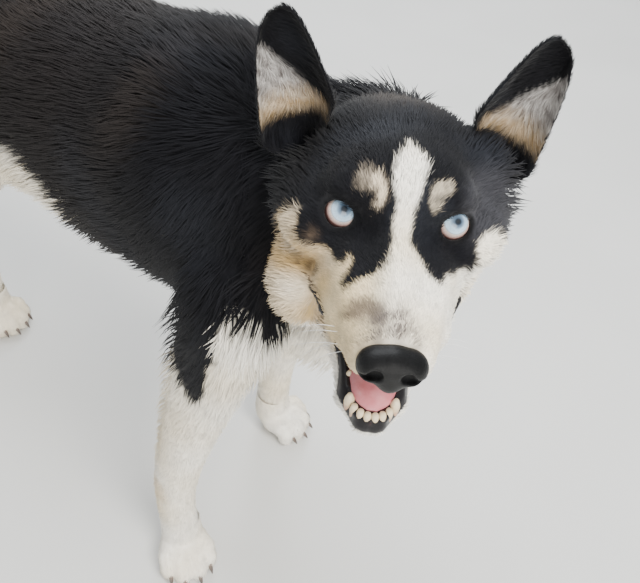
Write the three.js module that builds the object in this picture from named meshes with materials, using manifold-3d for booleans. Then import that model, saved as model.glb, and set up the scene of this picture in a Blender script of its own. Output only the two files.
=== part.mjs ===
// A life-size standing Siberian husky that turns its head to its right and looks up, its mouth open.
// Millimetres, +Z up. The dog faces -Y, its left side is +X, and its paws stand on the plane z = 0.
// Places are given from a point on the floor between the front paws, until the last step moves the
// whole dog so that the origin is under the middle of its box.
// Forms of one sub-part are joined into one closed mesh, and sub-parts keep a thin gap between them.

import * as THREE from "three";
import { mergeVertices } from "three/addons/utils/BufferGeometryUtils.js";
import Module from "manifold-3d";

const wasm = await Module();
wasm.setup();

const deg = THREE.MathUtils.degToRad;
const v = (x, y, z) => new THREE.Vector3(x, y, z);

// General sizes
const GAP = 0.3;
const SIDES = [["L", 1], ["R", -1]];

// The trunk from the forechest to the croup: y, the middle's x, the back's height, the belly's
// height and half the width. The rear swings to the dog's right.
const TRUNK = [
  [-70, 0, 488, 350, 58],
  [0, 0, 545, 343, 84],
  [70, 0, 577, 341, 95],
  [150, -2, 569, 346, 94],
  [240, -14, 566, 364, 88],
  [330, -34, 569, 388, 79],
  [410, -55, 571, 400, 78],
  [480, -74, 546, 420, 66],
];

// The head's place is the point between the eyes. Its turn, nod and tilt are in degrees.
const HEAD_AT = [-66, -123, 548];
const HEAD_TURN = -58.7;
const HEAD_NOD = -3.9;
const HEAD_TILT = 4.8;

// Sizes in the head's own frame: x to the dog's left, -y to the nose, z up
const EYE = { at: [32.5, 8, -1], radius: 11, look: [0.3, -0.94, 0.14], width: 18.5, height: 16.5, slant: 0.2 };
const EAR = { inner: [43, 70, 42], outer: [88, 74, 4], tip: [85, 67, 90], rise: 76, cup: 21, thick: 3.4 };
const JAW = {
  rear: [32, 12, -72, 16],
  middle: [18, -24, -78, 10],
  front: [12, -56, -90, 8.5],
  chin: [3, -70, -94, 9],
};

// Leg stations from the body down: x, y, z, half width and half depth
const LEGS = {
  fore_L: [
    [62, -2, 458, 24, 30],
    [76, -8, 428, 31, 47],
    [87, 2, 370, 31, 46],
    [93, 16, 320, 28, 39],
    [99, 34, 250, 25, 31],
    [102, 50, 185, 21, 25],
    [103, 60, 130, 19.5, 22.5],
    [102, 63, 85, 19.5, 22],
    [101, 63, 30, 21, 23],
  ],
  fore_R: [
    [-62, -6, 458, 24, 30],
    [-74, -14, 428, 31, 47],
    [-84, -6, 370, 31, 46],
    [-90, 4, 320, 28, 39],
    [-96, 18, 250, 26, 31],
    [-101, 29, 185, 23, 25],
    [-102, 36, 130, 21, 22.5],
    [-101, 36, 85, 20.5, 22],
    [-99, 34, 30, 22, 23],
  ],
  hind_L: [
    [-24, 428, 486, 20, 34],
    [-14, 424, 450, 33, 64],
    [-6, 411, 385, 34, 62],
    [1, 408, 330, 29, 50],
    [4, 433, 275, 23, 35],
    [5, 472, 220, 18, 24],
    [5, 500, 178, 15.5, 20],
    [4, 494, 125, 15, 18],
    [0, 482, 75, 16, 18],
    [-6, 471, 30, 19, 21],
  ],
  hind_R: [
    [-92, 430, 486, 20, 34],
    [-98, 426, 450, 33, 64],
    [-106, 414, 385, 34, 62],
    [-113, 418, 330, 29, 50],
    [-119, 448, 275, 23, 35],
    [-125, 490, 220, 18, 24],
    [-130, 522, 178, 15.5, 20],
    [-132, 522, 125, 15, 18],
    [-134, 516, 75, 16, 18],
    [-135, 510, 30, 19, 21],
  ],
};
const PAW_TOP = 44;
const PAWS = {
  fore_L: { at: [104, 50], turn: 14, size: 1 },
  fore_R: { at: [-105, 24], turn: -34, size: 1 },
  hind_L: { at: [-6, 459], turn: 4, size: 0.94 },
  hind_R: { at: [-135, 499], turn: -6, size: 0.94 },
};

// The thigh ends at a slanted plane behind the knee.
const KNEE = { out: v(0, -0.5, 0.866), height: 268, place: { hind_L: 436, hind_R: 454 } };

// The tail's brush: x, y, z and radius
const TAIL = [
  [-75, 506, 524, 32],
  [-76, 538, 538, 37],
  [-78, 572, 562, 41],
  [-78, 600, 603, 43],
  [-73, 607, 648, 36],
  [-65, 596, 688, 19],
];

// Joining and cutting

// A closed three.js geometry as a solid, moved by a matrix.
function solidOf(geometry, matrix = new THREE.Matrix4()) {
  const bare = geometry.clone().applyMatrix4(matrix);
  for (const name of ["normal", "uv", "uv1"]) {
    bare.deleteAttribute(name);
  }
  const merged = mergeVertices(bare, 1e-3);
  const vertProperties = merged.attributes.position.array;
  const triVerts = new Uint32Array(merged.index.array);
  if (matrix.determinant() < 0) {
    triVerts.reverse();
  }
  return new wasm.Manifold(new wasm.Mesh({ numProp: 3, vertProperties, triVerts }));
}

// A solid as a three.js geometry.
function geometryOf(solid) {
  const mesh = solid.getMesh();
  const position = new THREE.BufferAttribute(new Float32Array(mesh.vertProperties), 3);
  const geometry = new THREE.BufferGeometry().setAttribute("position", position);
  geometry.setIndex(new THREE.BufferAttribute(new Uint32Array(mesh.triVerts), 1));
  geometry.computeVertexNormals();
  return geometry;
}

const join = (solids) => solids.reduce((all, one) => all.add(one));
const cut = (solid, tools) => tools.reduce((left, tool) => left.subtract(tool), solid);

// The half of a solid that lies past a plane on the side that a direction points to.
const keepPast = (solid, direction, point, shift = 0) =>
  solid.trimByPlane(direction.toArray(), direction.dot(point) + shift);

// The largest closed surface of a solid, without loose scraps.
function largest(solid) {
  const pieces = solid.decompose();
  return pieces.reduce((best, one) => (one.volume() > best.volume() ? one : best));
}

// Lofted forms

// Rings of equal length, joined to each other and closed by a fan at each end.
function closeRings(rings) {
  const sides = rings[0].length;
  const points = rings.flat();
  const faces = [];
  for (let r = 0; r + 1 < rings.length; r++) {
    for (let s = 0; s < sides; s++) {
      const here = r * sides + s;
      const next = r * sides + ((s + 1) % sides);
      faces.push(here, next, next + sides, here, next + sides, here + sides);
    }
  }
  for (const [ring, first] of [[rings[0], 0], [rings.at(-1), (rings.length - 1) * sides]]) {
    const middle = ring.reduce((sum, p) => sum.add(p), v(0, 0, 0)).divideScalar(sides);
    const centre = points.push(middle) - 1;
    for (let s = 0; s < sides; s++) {
      const here = first + s;
      const next = first + ((s + 1) % sides);
      faces.push(...(first ? [here, next, centre] : [next, here, centre]));
    }
  }
  return new THREE.BufferGeometry().setFromPoints(points).setIndex(faces);
}

// A tube through stations of [x, y, z, half width, half depth]. Its width lies along the side vector,
// grow makes it fatter all round, and caps is the number of rings that round off each end.
function limb(stations, { sides = 12, rings = 12, side = v(1, 0, 0), grow = 0, caps = 0 } = {}) {
  const path = new THREE.CatmullRomCurve3(stations.map((s) => v(s[0], s[1], s[2])));
  const size = new THREE.CatmullRomCurve3(stations.map((s) => v(s[3], s[4] ?? s[3], 0)));
  const made = [];
  const addRing = (t, shift, scale) => {
    const along = path.getTangent(t);
    const wide = side.clone().addScaledVector(along, -side.dot(along)).normalize();
    const deep = along.clone().cross(wide);
    const reach = size.getPoint(t);
    const centre = path.getPoint(t).addScaledVector(along, shift * (caps ? reach.y + grow : grow));
    const ring = [];
    for (let s = 0; s < sides; s++) {
      const angle = ((s + 0.5) / sides) * 2 * Math.PI;
      const x = Math.cos(angle) * (reach.x + grow) * scale;
      const y = Math.sin(angle) * (reach.y + grow) * scale;
      ring.push(centre.clone().addScaledVector(wide, x).addScaledVector(deep, y));
    }
    made.push(ring);
  };
  const bend = (c) => ((c / (caps + 0.4)) * Math.PI) / 2;
  for (let c = caps; c >= 1; c--) {
    addRing(0, -Math.sin(bend(c)), Math.cos(bend(c)));
  }
  for (let r = 0; r <= rings; r++) {
    const end = r === 0 ? -1 : Number(r === rings);
    addRing(r / rings, caps ? 0 : end, 1);
  }
  for (let c = 1; c <= caps; c++) {
    addRing(1, Math.sin(bend(c)), Math.cos(bend(c)));
  }
  return closeRings(made);
}

// Soft forms, as distance functions that are negative inside

const ellipsoid = (centre, radii) => (p) => {
  const x = (p.x - centre[0]) / radii[0];
  const y = (p.y - centre[1]) / radii[1];
  const z = (p.z - centre[2]) / radii[2];
  const near = Math.hypot(x, y, z);
  const slope = Math.hypot(x / radii[0], y / radii[1], z / radii[2]);
  return slope > 1e-9 ? (near * (near - 1)) / slope : -Math.min(...radii);
};

// A straight bone between two points, each given with the radius there.
const bone = (a, b) => (p) => {
  const [dx, dy, dz] = [b[0] - a[0], b[1] - a[1], b[2] - a[2]];
  const along = (p.x - a[0]) * dx + (p.y - a[1]) * dy + (p.z - a[2]) * dz;
  const t = Math.min(1, Math.max(0, along / (dx * dx + dy * dy + dz * dz)));
  const gap = Math.hypot(p.x - a[0] - t * dx, p.y - a[1] - t * dy, p.z - a[2] - t * dz);
  return gap - a[3] - t * (b[3] - a[3]);
};

// Forms that melt into one another over a width.
const melt = (width, ...forms) => (p) => {
  let all = forms[0](p);
  for (const form of forms.slice(1)) {
    const one = form(p);
    const share = Math.max(width - Math.abs(all - one), 0) / width;
    all = Math.min(all, one) - (share * share * width) / 4;
  }
  return all;
};

// The same form on both sides of the middle plane.
const mirrored = (form) => (p) => form(v(Math.abs(p.x), p.y, p.z));

// The distance from a point inside a form to its surface along a direction.
function reachOf(form, from, direction) {
  const [least, share, most] = [0.5, 0.7, 400];
  let near = 0;
  let far = 0;
  const at = (t) => form(from.clone().addScaledVector(direction, t));
  for (let d = at(0); d < 0 && far < most; d = at(far)) {
    near = far;
    far += Math.max(-d * share, least);
  }
  for (let i = 0; i < 12; i++) {
    const middle = (near + far) / 2;
    if (at(middle) < 0) {
      near = middle;
    } else {
      far = middle;
    }
  }
  return far;
}

// The outward direction of a form's surface.
function outwardOf(form, p) {
  const step = 0.5;
  const slope = (x, y, z) => form(v(p.x + x, p.y + y, p.z + z)) - form(v(p.x - x, p.y - y, p.z - z));
  return v(slope(step, 0, 0), slope(0, step, 0), slope(0, 0, step)).normalize();
}

// The directions that stand across an axis.
function crossOf(axis, side = v(1, 0, 0)) {
  const wide = side.clone().addScaledVector(axis, -side.dot(axis)).normalize();
  return { wide, high: axis.clone().cross(wide) };
}

// Wraps a soft form in rings about an axis from one point to another, with round ends.
function wrap(form, from, to, { rings, sides, ends = 4, grow = 0 }) {
  const axis = to.clone().sub(from).normalize();
  const { wide, high } = crossOf(axis);
  const made = [];
  const addRing = (origin, tilt) => {
    const ring = [];
    for (let s = 0; s < sides; s++) {
      const angle = ((s + 0.5) / sides) * 2 * Math.PI;
      const direction = wide.clone().multiplyScalar(Math.cos(angle) * Math.cos(tilt));
      direction.addScaledVector(high, Math.sin(angle) * Math.cos(tilt));
      direction.addScaledVector(axis, Math.sin(tilt)).normalize();
      const reach = reachOf(form, origin, direction) + grow;
      ring.push(origin.clone().addScaledVector(direction, reach));
    }
    made.push(ring);
  };
  const tiltOf = (e) => ((e - 0.3) / ends) * (Math.PI / 2);
  for (let e = ends; e >= 1; e--) {
    addRing(from, -tiltOf(e));
  }
  for (let r = 0; r <= rings; r++) {
    addRing(from.clone().lerp(to, r / rings), 0);
  }
  for (let e = 1; e <= ends; e++) {
    addRing(to, tiltOf(e));
  }
  return closeRings(made);
}

// Locks of fur

// Numbers between 0 and 1 that are the same every time.
function seeded(seed) {
  let state = seed;
  return () => {
    state = (state * 1664525 + 1013904223) % 4294967296;
    return state / 4294967296;
  };
}

// A flat tapered lock that bends over from its sunk root to its tip, its flat side facing out.
function lock([root, over, tip], out, width, thick) {
  const bend = new THREE.QuadraticBezierCurve3(root, over, tip);
  const made = [];
  for (const [t, fat] of [[0, 0.75], [0.4, 1], [0.75, 0.7], [1, 0.08]]) {
    const along = bend.getTangent(t);
    const wide = out.clone().cross(along).normalize();
    const high = along.clone().cross(wide);
    const centre = bend.getPoint(t);
    const corner = (w, h) => centre.clone()
      .addScaledVector(wide, (w * fat * width) / 2)
      .addScaledVector(high, (h * fat * thick) / 2);
    made.push([corner(1, 0), corner(0, 1), corner(-1, 0), corner(0, -1)]);
  }
  return closeRings(made);
}

// A lock that follows the surface of a soft form from a root on it, and lifts towards its tip.
function lockOn(form, root, comb, { length, width, thick, sink, lift, sway }) {
  const out = outwardOf(form, root);
  const lie = comb.clone().addScaledVector(out, -comb.dot(out)).normalize();
  lie.addScaledVector(out.clone().cross(lie), sway).normalize();
  const place = (share, height) => {
    const p = root.clone().addScaledVector(lie, length * share);
    return p.addScaledVector(outwardOf(form, p), height - form(p));
  };
  return lock([place(-0.1, -sink), place(0.5, lift * 0.9), place(1, lift)], out, width, thick);
}

// Locks in staggered rows around the line between two points inside a soft form. Angles are measured
// around that line, keep says which roots count, and comb gives the way that a lock lies.
function formLocks(form, [from, to], options) {
  const { rows, count, facing, spread, keep = () => true, comb, seed, grow = 0, ...size } = options;
  const random = seeded(seed);
  const { wide, high } = crossOf(to.clone().sub(from).normalize());
  const made = [];
  for (let r = 0; r < rows; r++) {
    for (let c = 0; c < count; c++) {
      const origin = from.clone().lerp(to, (r + 0.3 + 0.4 * random()) / rows);
      const angle = facing + spread * ((c + 0.25 + 0.5 * (r % 2) + 0.3 * (random() - 0.5)) / count - 0.5);
      const direction = wide.clone().multiplyScalar(Math.cos(angle)).addScaledVector(high, Math.sin(angle));
      const root = origin.clone().addScaledVector(direction, reachOf(form, origin, direction));
      const length = size.length * (0.8 + 0.4 * random());
      const lift = size.lift * (0.75 + 0.5 * random()) + grow;
      const sway = 0.5 * (random() - 0.5);
      const width = size.width + 2 * grow;
      const thick = size.thick + 2 * grow;
      if (keep(root)) {
        made.push(lockOn(form, root, comb, { ...size, length, lift, sway, width, thick }));
      }
    }
  }
  return made;
}

// Locks in staggered rows around a tube of stations, which lie along it towards its end.
function limbLocks(stations, options) {
  const { rows, count, from, to, facing, spread, core = 1, seed, ...size } = options;
  const random = seeded(seed);
  const path = new THREE.CatmullRomCurve3(stations.map((s) => v(s[0], s[1], s[2])));
  const halves = new THREE.CatmullRomCurve3(stations.map((s) => v(s[3], s[4] ?? s[3], 0)));
  const total = path.getLength();
  const outAt = (t, angle) => {
    const { wide, high } = crossOf(path.getTangent(Math.min(t, 1)));
    return { wide: wide.multiplyScalar(Math.cos(angle)), high: high.multiplyScalar(Math.sin(angle)) };
  };
  const place = (t, angle, share, height) => {
    const s = Math.min(t, 1);
    const { wide, high } = outAt(s, angle);
    const reach = halves.getPoint(s);
    return path.getPoint(s)
      .addScaledVector(path.getTangent(s), (t - s) * total)
      .addScaledVector(wide, reach.x * share + height)
      .addScaledVector(high, reach.y * share + height);
  };
  const made = [];
  for (let r = 0; r < rows; r++) {
    for (let c = 0; c < count; c++) {
      const t = from + ((to - from) * (r + 0.3 + 0.4 * random())) / rows;
      const angle = facing + spread * ((c + 0.25 + 0.5 * (r % 2) + 0.3 * (random() - 0.5)) / count - 0.5);
      const far = t + (size.length * (0.8 + 0.4 * random())) / total;
      const lift = size.lift * (0.75 + 0.5 * random());
      const { wide, high } = outAt(t, angle);
      const points = [
        place(t, angle, core, -size.sink),
        place((t + far) / 2, angle, 1, lift * 0.8),
        place(far, angle + 0.3 * (random() - 0.5), 1, lift),
      ];
      made.push(lock(points, wide.add(high).normalize(), size.width, size.thick));
    }
  }
  return made;
}

// Trunk

// A smooth curve through one column of a table, read at a place along its first column.
function columnAt(table, column, place) {
  const last = table.length - 1;
  const y = Math.min(Math.max(place, table[0][0]), table[last][0]);
  const i = Math.min(Math.max(table.findIndex((row) => row[0] >= y) - 1, 0), last - 1);
  const slope = (k) => {
    const [a, b] = [table[Math.max(k - 1, 0)], table[Math.min(k + 1, last)]];
    return (b[column] - a[column]) / (b[0] - a[0]);
  };
  const step = table[i + 1][0] - table[i][0];
  const t = (y - table[i][0]) / step;
  const [p, q] = [table[i][column], table[i + 1][column]];
  const start = p * (2 * t ** 3 - 3 * t ** 2 + 1) + slope(i) * step * (t ** 3 - 2 * t ** 2 + t);
  return start + q * (3 * t ** 2 - 2 * t ** 3) + slope(i + 1) * step * (t ** 3 - t ** 2);
}

function barrel(p) {
  const [x, top, low, half] = [1, 2, 3, 4].map((column) => columnAt(TRUNK, column, p.y));
  const high = (top - low) / 2;
  const across = Math.abs((p.x - x) / half) ** 2.2;
  const up = Math.abs((p.z - low - high) / high) ** 2.2;
  const round = ((across + up) ** (1 / 2.2) - 1) * Math.min(half, high);
  return Math.max(round, TRUNK[0][0] - p.y, p.y - TRUNK.at(-1)[0]);
}

const forechest = ellipsoid([0, -64, 420], [62, 52, 74]);
const rump = ellipsoid([-75, 474, 484], [62, 50, 66]);
const neckBones = [
  bone([6, 58, 478, 84], [22, -16, 490, 59]),
  bone([22, -16, 490, 59], [28, -60, 512, 51]),
  bone([28, -60, 512, 51], [12, -86, 520, 44]),
  bone([0, -52, 420, 56], [8, -84, 480, 46]),
];
const bodyForm = melt(32, barrel, forechest, rump, ...neckBones);
const NECK_ROOT = { out: v(0, -0.805, 0.593), at: v(0, 47, 590) };

function trunkCore(grow = 0) {
  const whole = wrap(bodyForm, v(0, -40, 440), v(-66, 440, 488), { rings: 15, sides: 20, ends: 4, grow });
  return keepPast(solidOf(whole), NECK_ROOT.out.clone().negate(), NECK_ROOT.at, GAP / 2 - grow);
}

function neckCore(grow = 0) {
  const whole = wrap(bodyForm, v(0, 40, 475), v(10, -74, 515), { rings: 8, sides: 20, ends: 3, grow });
  return keepPast(solidOf(whole), NECK_ROOT.out, NECK_ROOT.at, GAP / 2 - grow);
}

// The ruff and the bib lie down and back over the shoulders and the chest.
const RUFF = { length: 72, width: 36, thick: 9, sink: 9, lift: 12, comb: v(0, 0.6, -0.8) };
const FRINGE = { length: 58, width: 30, thick: 8, sink: 9, lift: 12, comb: v(0, 0.5, -0.86) };

const clearOfHead = (p) => headForm(p.clone().applyMatrix4(headFrame.clone().invert())) > 12;

function ruff() {
  const neckLine = [v(0, 40, 475), v(10, -74, 515)];
  const rows = { rows: 3, count: 10, facing: deg(-90), spread: deg(290), keep: clearOfHead, seed: 5 };
  return formLocks(bodyForm, neckLine, { ...RUFF, ...rows }).map((geometry) => solidOf(geometry));
}

function bib() {
  const chestLine = [v(0, -40, 478), v(0, -40, 384)];
  const rows = { rows: 3, count: 5, facing: deg(90), spread: deg(170), keep: clearOfHead, seed: 9 };
  return formLocks(bodyForm, chestLine, { ...RUFF, ...rows }).map((geometry) => solidOf(geometry));
}

function bellyFringe() {
  const bellyLine = [v(0, 50, 440), v(-48, 380, 460)];
  const rows = { rows: 5, count: 4, facing: deg(90), spread: deg(120), seed: 3 };
  return formLocks(bodyForm, bellyLine, { ...FRINGE, ...rows }).map((geometry) => solidOf(geometry));
}

// Head

const headFrame = new THREE.Matrix4()
  .makeTranslation(...HEAD_AT)
  .multiply(new THREE.Matrix4().makeRotationY(deg(HEAD_TILT)))
  .multiply(new THREE.Matrix4().makeRotationX(deg(HEAD_NOD)))
  .multiply(new THREE.Matrix4().makeRotationZ(deg(HEAD_TURN)));
const mirrorX = new THREE.Matrix4().makeScale(-1, 1, 1);
const inHead = (geometry, side = 1, frame = headFrame) => {
  const matrix = side < 0 ? frame.clone().multiply(mirrorX) : frame;
  return solidOf(geometry, matrix);
};
const inJaw = (geometry, side = 1) => inHead(geometry, side, jawFrame);

// The jaw hangs a little to the right of the middle, turned about its hinge.
const JAW_TURN = -1.4;
const JAW_HINGE = [0, 50, -30];
const jawFrame = headFrame.clone()
  .multiply(new THREE.Matrix4().makeTranslation(...JAW_HINGE))
  .multiply(new THREE.Matrix4().makeRotationZ(deg(JAW_TURN)))
  .multiply(new THREE.Matrix4().makeTranslation(...JAW_HINGE.map((n) => -n)));

const skull = melt(
  16,
  ellipsoid([0, 60, 2], [58, 64, 45]),
  ellipsoid([0, 20, 11], [42, 28, 27]),
  ellipsoid([25, 8, 14], [19, 15, 12]),
  ellipsoid([46, 26, -15], [26, 37, 25]),
  ellipsoid([50, 54, -26], [28, 37, 34]),
  ellipsoid([37, 38, -54], [27, 38, 29]),
  ellipsoid([0, 62, -54], [46, 44, 36]),
);
const muzzle = melt(
  9,
  bone([0, -4, -9, 17], [0, -78, -23, 12]),
  bone([20, -6, -25, 22], [11, -76, -31, 13]),
  bone([34, -8, -39, 12], [24, -46, -41, 10]),
  bone([24, -46, -41, 10], [14, -78, -39, 8]),
  bone([0, -6, -32, 16], [0, -78, -34, 12]),
);

// The turn of the head pushes the fur of its right cheek out, below the corner of the mouth.
const fullCheek = ellipsoid([-50, 22, -66], [27, 38, 27]);
const headForm = melt(16, mirrored(melt(13, skull, muzzle)), fullCheek);

// The upper lip's rim, from the corner of the mouth to the front.
const upperLips = () => {
  const rim = [[46, -4, -48, 2.4], [37, -26, -50, 2.2], [26, -56, -49, 2], [8, -84, -45, 1.8]];
  return SIDES.map(([, side]) => inHead(limb(rim, { sides: 5, rings: 6 }), side));
};

function headBody(grow = 0) {
  const core = wrap(headForm, v(0, -58, -28), v(0, 74, -8), { rings: 17, sides: 24, ends: 4, grow });
  return inHead(core);
}

// The fur of the cheeks stands out behind the corners of the mouth.
const CHEEK = { length: 40, width: 22, thick: 7, sink: 8, lift: 7, comb: v(0.2, 0.6, -0.77) };

function cheekLocks(side, grow) {
  const form = (p) => headForm(v(side * p.x, p.y, p.z));
  const cheekLine = [v(0, 46, -62), v(0, 46, 4)];
  const rows = { rows: 3, count: 2, facing: deg(10), spread: deg(70), seed: 7 };
  return formLocks(form, cheekLine, { ...CHEEK, ...rows, grow }).map((geometry) => inHead(geometry, side));
}

// The roof of the open mouth, with the arch behind the front teeth's place.
function palate() {
  const arch = [[0, 18, -58, 20, 7], [0, -20, -52, 18, 8], [0, -56, -49, 12, 7], [0, -78, -48, 7, 4]];
  return inHead(limb(arch, { sides: 10, rings: 6, caps: 1 }));
}

// Eyes and lids

const eyeBall = (side, grow = 0) => {
  const ball = new THREE.SphereGeometry(EYE.radius + grow, 14, 8).translate(...EYE.at);
  return inHead(ball, side);
};

// A lid is a ball around the eye, opened by a prism in the shape of the eye's slit.
const lidBall = (side) => inHead(new THREE.SphereGeometry(EYE.radius + 1.8, 14, 10).translate(...EYE.at), side);

// The dish of the eye socket, in which the lids stand.
function orbit(side) {
  const [reach, wide, high, deep] = [19, 15, 13, 10];
  const out = v(...EYE.look).normalize();
  const dish = new THREE.SphereGeometry(1, 12, 8).scale(wide, deep, high);
  dish.translate(...v(...EYE.at).addScaledVector(out, reach).toArray());
  return inHead(dish, side);
}

function eyeSlit(side) {
  const half = EYE.width / 2;
  const high = EYE.height / 2 / 0.75;
  const slit = new THREE.Shape();
  slit.moveTo(-half, 0);
  slit.bezierCurveTo(-half * 0.8, high, half * 0.7, high, half, 0);
  slit.bezierCurveTo(half * 0.7, -high, -half * 0.8, -high, -half, 0);
  const prism = new THREE.ExtrudeGeometry(slit, { depth: 40, bevelEnabled: false, curveSegments: 5 });
  const out = v(...EYE.look).normalize();
  const wide = v(1, 0, EYE.slant).addScaledVector(out, -v(1, 0, EYE.slant).dot(out)).normalize();
  const up = out.clone().cross(wide);
  const turn = new THREE.Matrix4().makeBasis(wide, up, out).setPosition(...EYE.at);
  return inHead(prism.applyMatrix4(turn), side);
}

// Nose

const noseForm = mirrored(melt(
  4,
  ellipsoid([0, -90, -29], [14, 10, 12]),
  ellipsoid([10, -90, -30], [9, 9, 10]),
  ellipsoid([0, -92, -38], [7, 7, 7]),
));
const nosePad = (grow = 0) => inHead(
  wrap(noseForm, v(0, -93, -32), v(0, -85, -31), { rings: 2, sides: 16, ends: 3, grow }),
);
const nostril = (side) => inHead(limb(
  [[6, -104, -30, 3, 3.4], [8.5, -98, -30.5, 3.4, 3.8], [13, -95, -33, 2.4, 2.6], [19, -94, -36, 1, 1.4]],
  { sides: 6, rings: 4, side: v(0, 0, 1), caps: 1 },
), side);

// Jaw and tongue

const jawForm = mirrored(melt(
  8,
  bone(JAW.rear, JAW.middle),
  bone(JAW.middle, JAW.front),
  bone(JAW.front, JAW.chin),
  ellipsoid([0, -20, -86], [20, 52, 11]),
));
const jawHull = (grow) => inJaw(
  wrap(jawForm, v(0, -62, -91), v(0, 22, -66), { rings: 9, sides: 16, ends: 4, grow }),
);
const tongueBed = [[0, 20, -62, 15, 7], [0, -10, -71, 14, 6], [0, -38, -80, 12, 5], [0, -54, -86, 9.5, 3.6]];
const tongueBody = (grow = 0) => inJaw(limb(tongueBed, { sides: 10, rings: 6, grow, caps: 2 }));

// The trough between the two rows of lower teeth.
function jawTrough() {
  const trough = [[0, 36, -52, 17, 12], [0, -10, -64, 14.5, 11], [0, -40, -75, 12, 9], [0, -62, -83, 8.5, 7]];
  return inJaw(limb(trough, { sides: 10, rings: 6, caps: 1 }));
}

// A tooth's own root, tip and radius; its place runs round the front and back along each side.
function lowerTeeth() {
  const incisors = [[1.9, -74, 1.9], [5.3, -73, 2], [8.4, -70.5, 2.1]];
  const cheekTeeth = [[14.5, -50, 2.8], [16.5, -38, 3.2], [18, -26, 3.8]];
  const teeth = [[11.6, -65, -93, 12.6, -67, -78, 3.2]];
  for (const [x, y, r] of incisors) {
    teeth.push([x, y, -93, x, y - 1, -85, r]);
  }
  for (const [x, y, r] of cheekTeeth) {
    const share = (y - JAW.middle[1]) / (JAW.front[1] - JAW.middle[1]);
    const line = JAW.middle[2] + share * (JAW.front[2] - JAW.middle[2]);
    teeth.push([x, y, line + 2, x, y, line + 14, r]);
  }
  const made = [];
  for (const [, side] of SIDES) {
    for (const [x, y, z, tipX, tipY, tipZ, r] of teeth) {
      const waist = [(x + tipX) / 2, (y + tipY) / 2, (z + tipZ) / 2, r];
      const tooth = [[x, y, z, r], waist, [tipX, tipY, tipZ, r * 0.35]];
      made.push(inJaw(limb(tooth, { sides: 5, rings: 2 }), side));
    }
  }
  return made;
}

function jawBody() {
  const rim = [[25, -4, -62, 2], [20, -32, -73, 2], [15.5, -57, -83, 2], [8, -72, -87, 2], [-1, -76, -88, 2]];
  const lips = SIDES.map(([, side]) => inJaw(limb(rim, { sides: 5, rings: 6 }), side));
  const bowl = cut(join([jawHull(0), ...lips]), [jawTrough(), tongueBody(GAP)]);
  return cut(join([bowl, ...lowerTeeth()]), [tongueBody(GAP), headBody(GAP), neckCore(GAP)]);
}

// Ears: each is a cup whose section is a crescent, from a root in the skull to a blunt tip

function ear(side) {
  const [inner, outer, tip] = [v(...EAR.inner), v(...EAR.outer), v(...EAR.tip)];
  const out = outer.clone().sub(inner).normalize();
  const rise = tip.clone().sub(inner.clone().lerp(outer, 0.5)).normalize();
  const back = rise.clone().cross(out).normalize();
  const steps = 6;
  const made = [];
  for (const t of [-0.28, -0.06, 0.12, 0.3, 0.5, 0.68, 0.83, 0.94, 0.99]) {
    const left = Math.max(t, 0);
    const narrow = Math.sqrt(Math.max(1 - left ** 2.2, 0)) * (1 - 0.42 * left);
    const middle = inner.clone().lerp(outer, 0.5 - 0.02 * t).addScaledVector(rise, t * EAR.rise);
    middle.addScaledVector(tip.clone().sub(middle), left ** 2 * 0.9);
    const half = (inner.distanceTo(outer) / 2) * narrow;
    const cup = EAR.cup * narrow;
    const ring = [];
    const at = (s, depth) => middle.clone()
      .addScaledVector(out, Math.cos(s * Math.PI) * -half)
      .addScaledVector(back, Math.sin(s * Math.PI) * depth - 0.35 * cup);
    for (let i = 0; i <= steps; i++) {
      ring.push(at(i / steps, cup));
    }
    for (let i = steps - 1; i >= 1; i--) {
      ring.push(at(0.03 + (0.94 * i) / steps, cup - EAR.thick * (0.6 + 0.6 * narrow)));
    }
    made.push(ring.reverse());
  }
  return cut(inHead(closeRings(made), side), [headBody(GAP), neckCore(GAP)]);
}

// Legs and paws

const legCore = (name, grow = 0) => {
  const shaft = solidOf(limb(LEGS[name], { sides: 12, rings: 13, grow, caps: 1 }));
  return keepPast(shaft, v(0, 0, 1), v(0, 0, PAW_TOP), GAP / 2 - grow);
};

// A hind leg's part above the knee plane, or with a side of -1 the part below it.
function hindPart(name, side) {
  const at = v(0, KNEE.place[name], KNEE.height);
  return keepPast(legCore(name), KNEE.out.clone().multiplyScalar(side), at, GAP / 2);
}

const BREECHES = { length: 68, width: 30, thick: 9, sink: 6, lift: 12 };

function breeches(name) {
  const rows = { rows: 3, count: 3, from: 0.14, to: 0.36, facing: deg(-90), spread: deg(130), seed: 11 };
  return limbLocks(LEGS[name], { ...BREECHES, ...rows }).map((geometry) => solidOf(geometry));
}

const pawForm = melt(
  8,
  bone([0, 14, 70, 20], [0, 12, 34, 23]),
  ellipsoid([0, -3, 22], [28, 28, 18]),
  ellipsoid([0, 4, 10], [20, 20, 13]),
);

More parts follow.
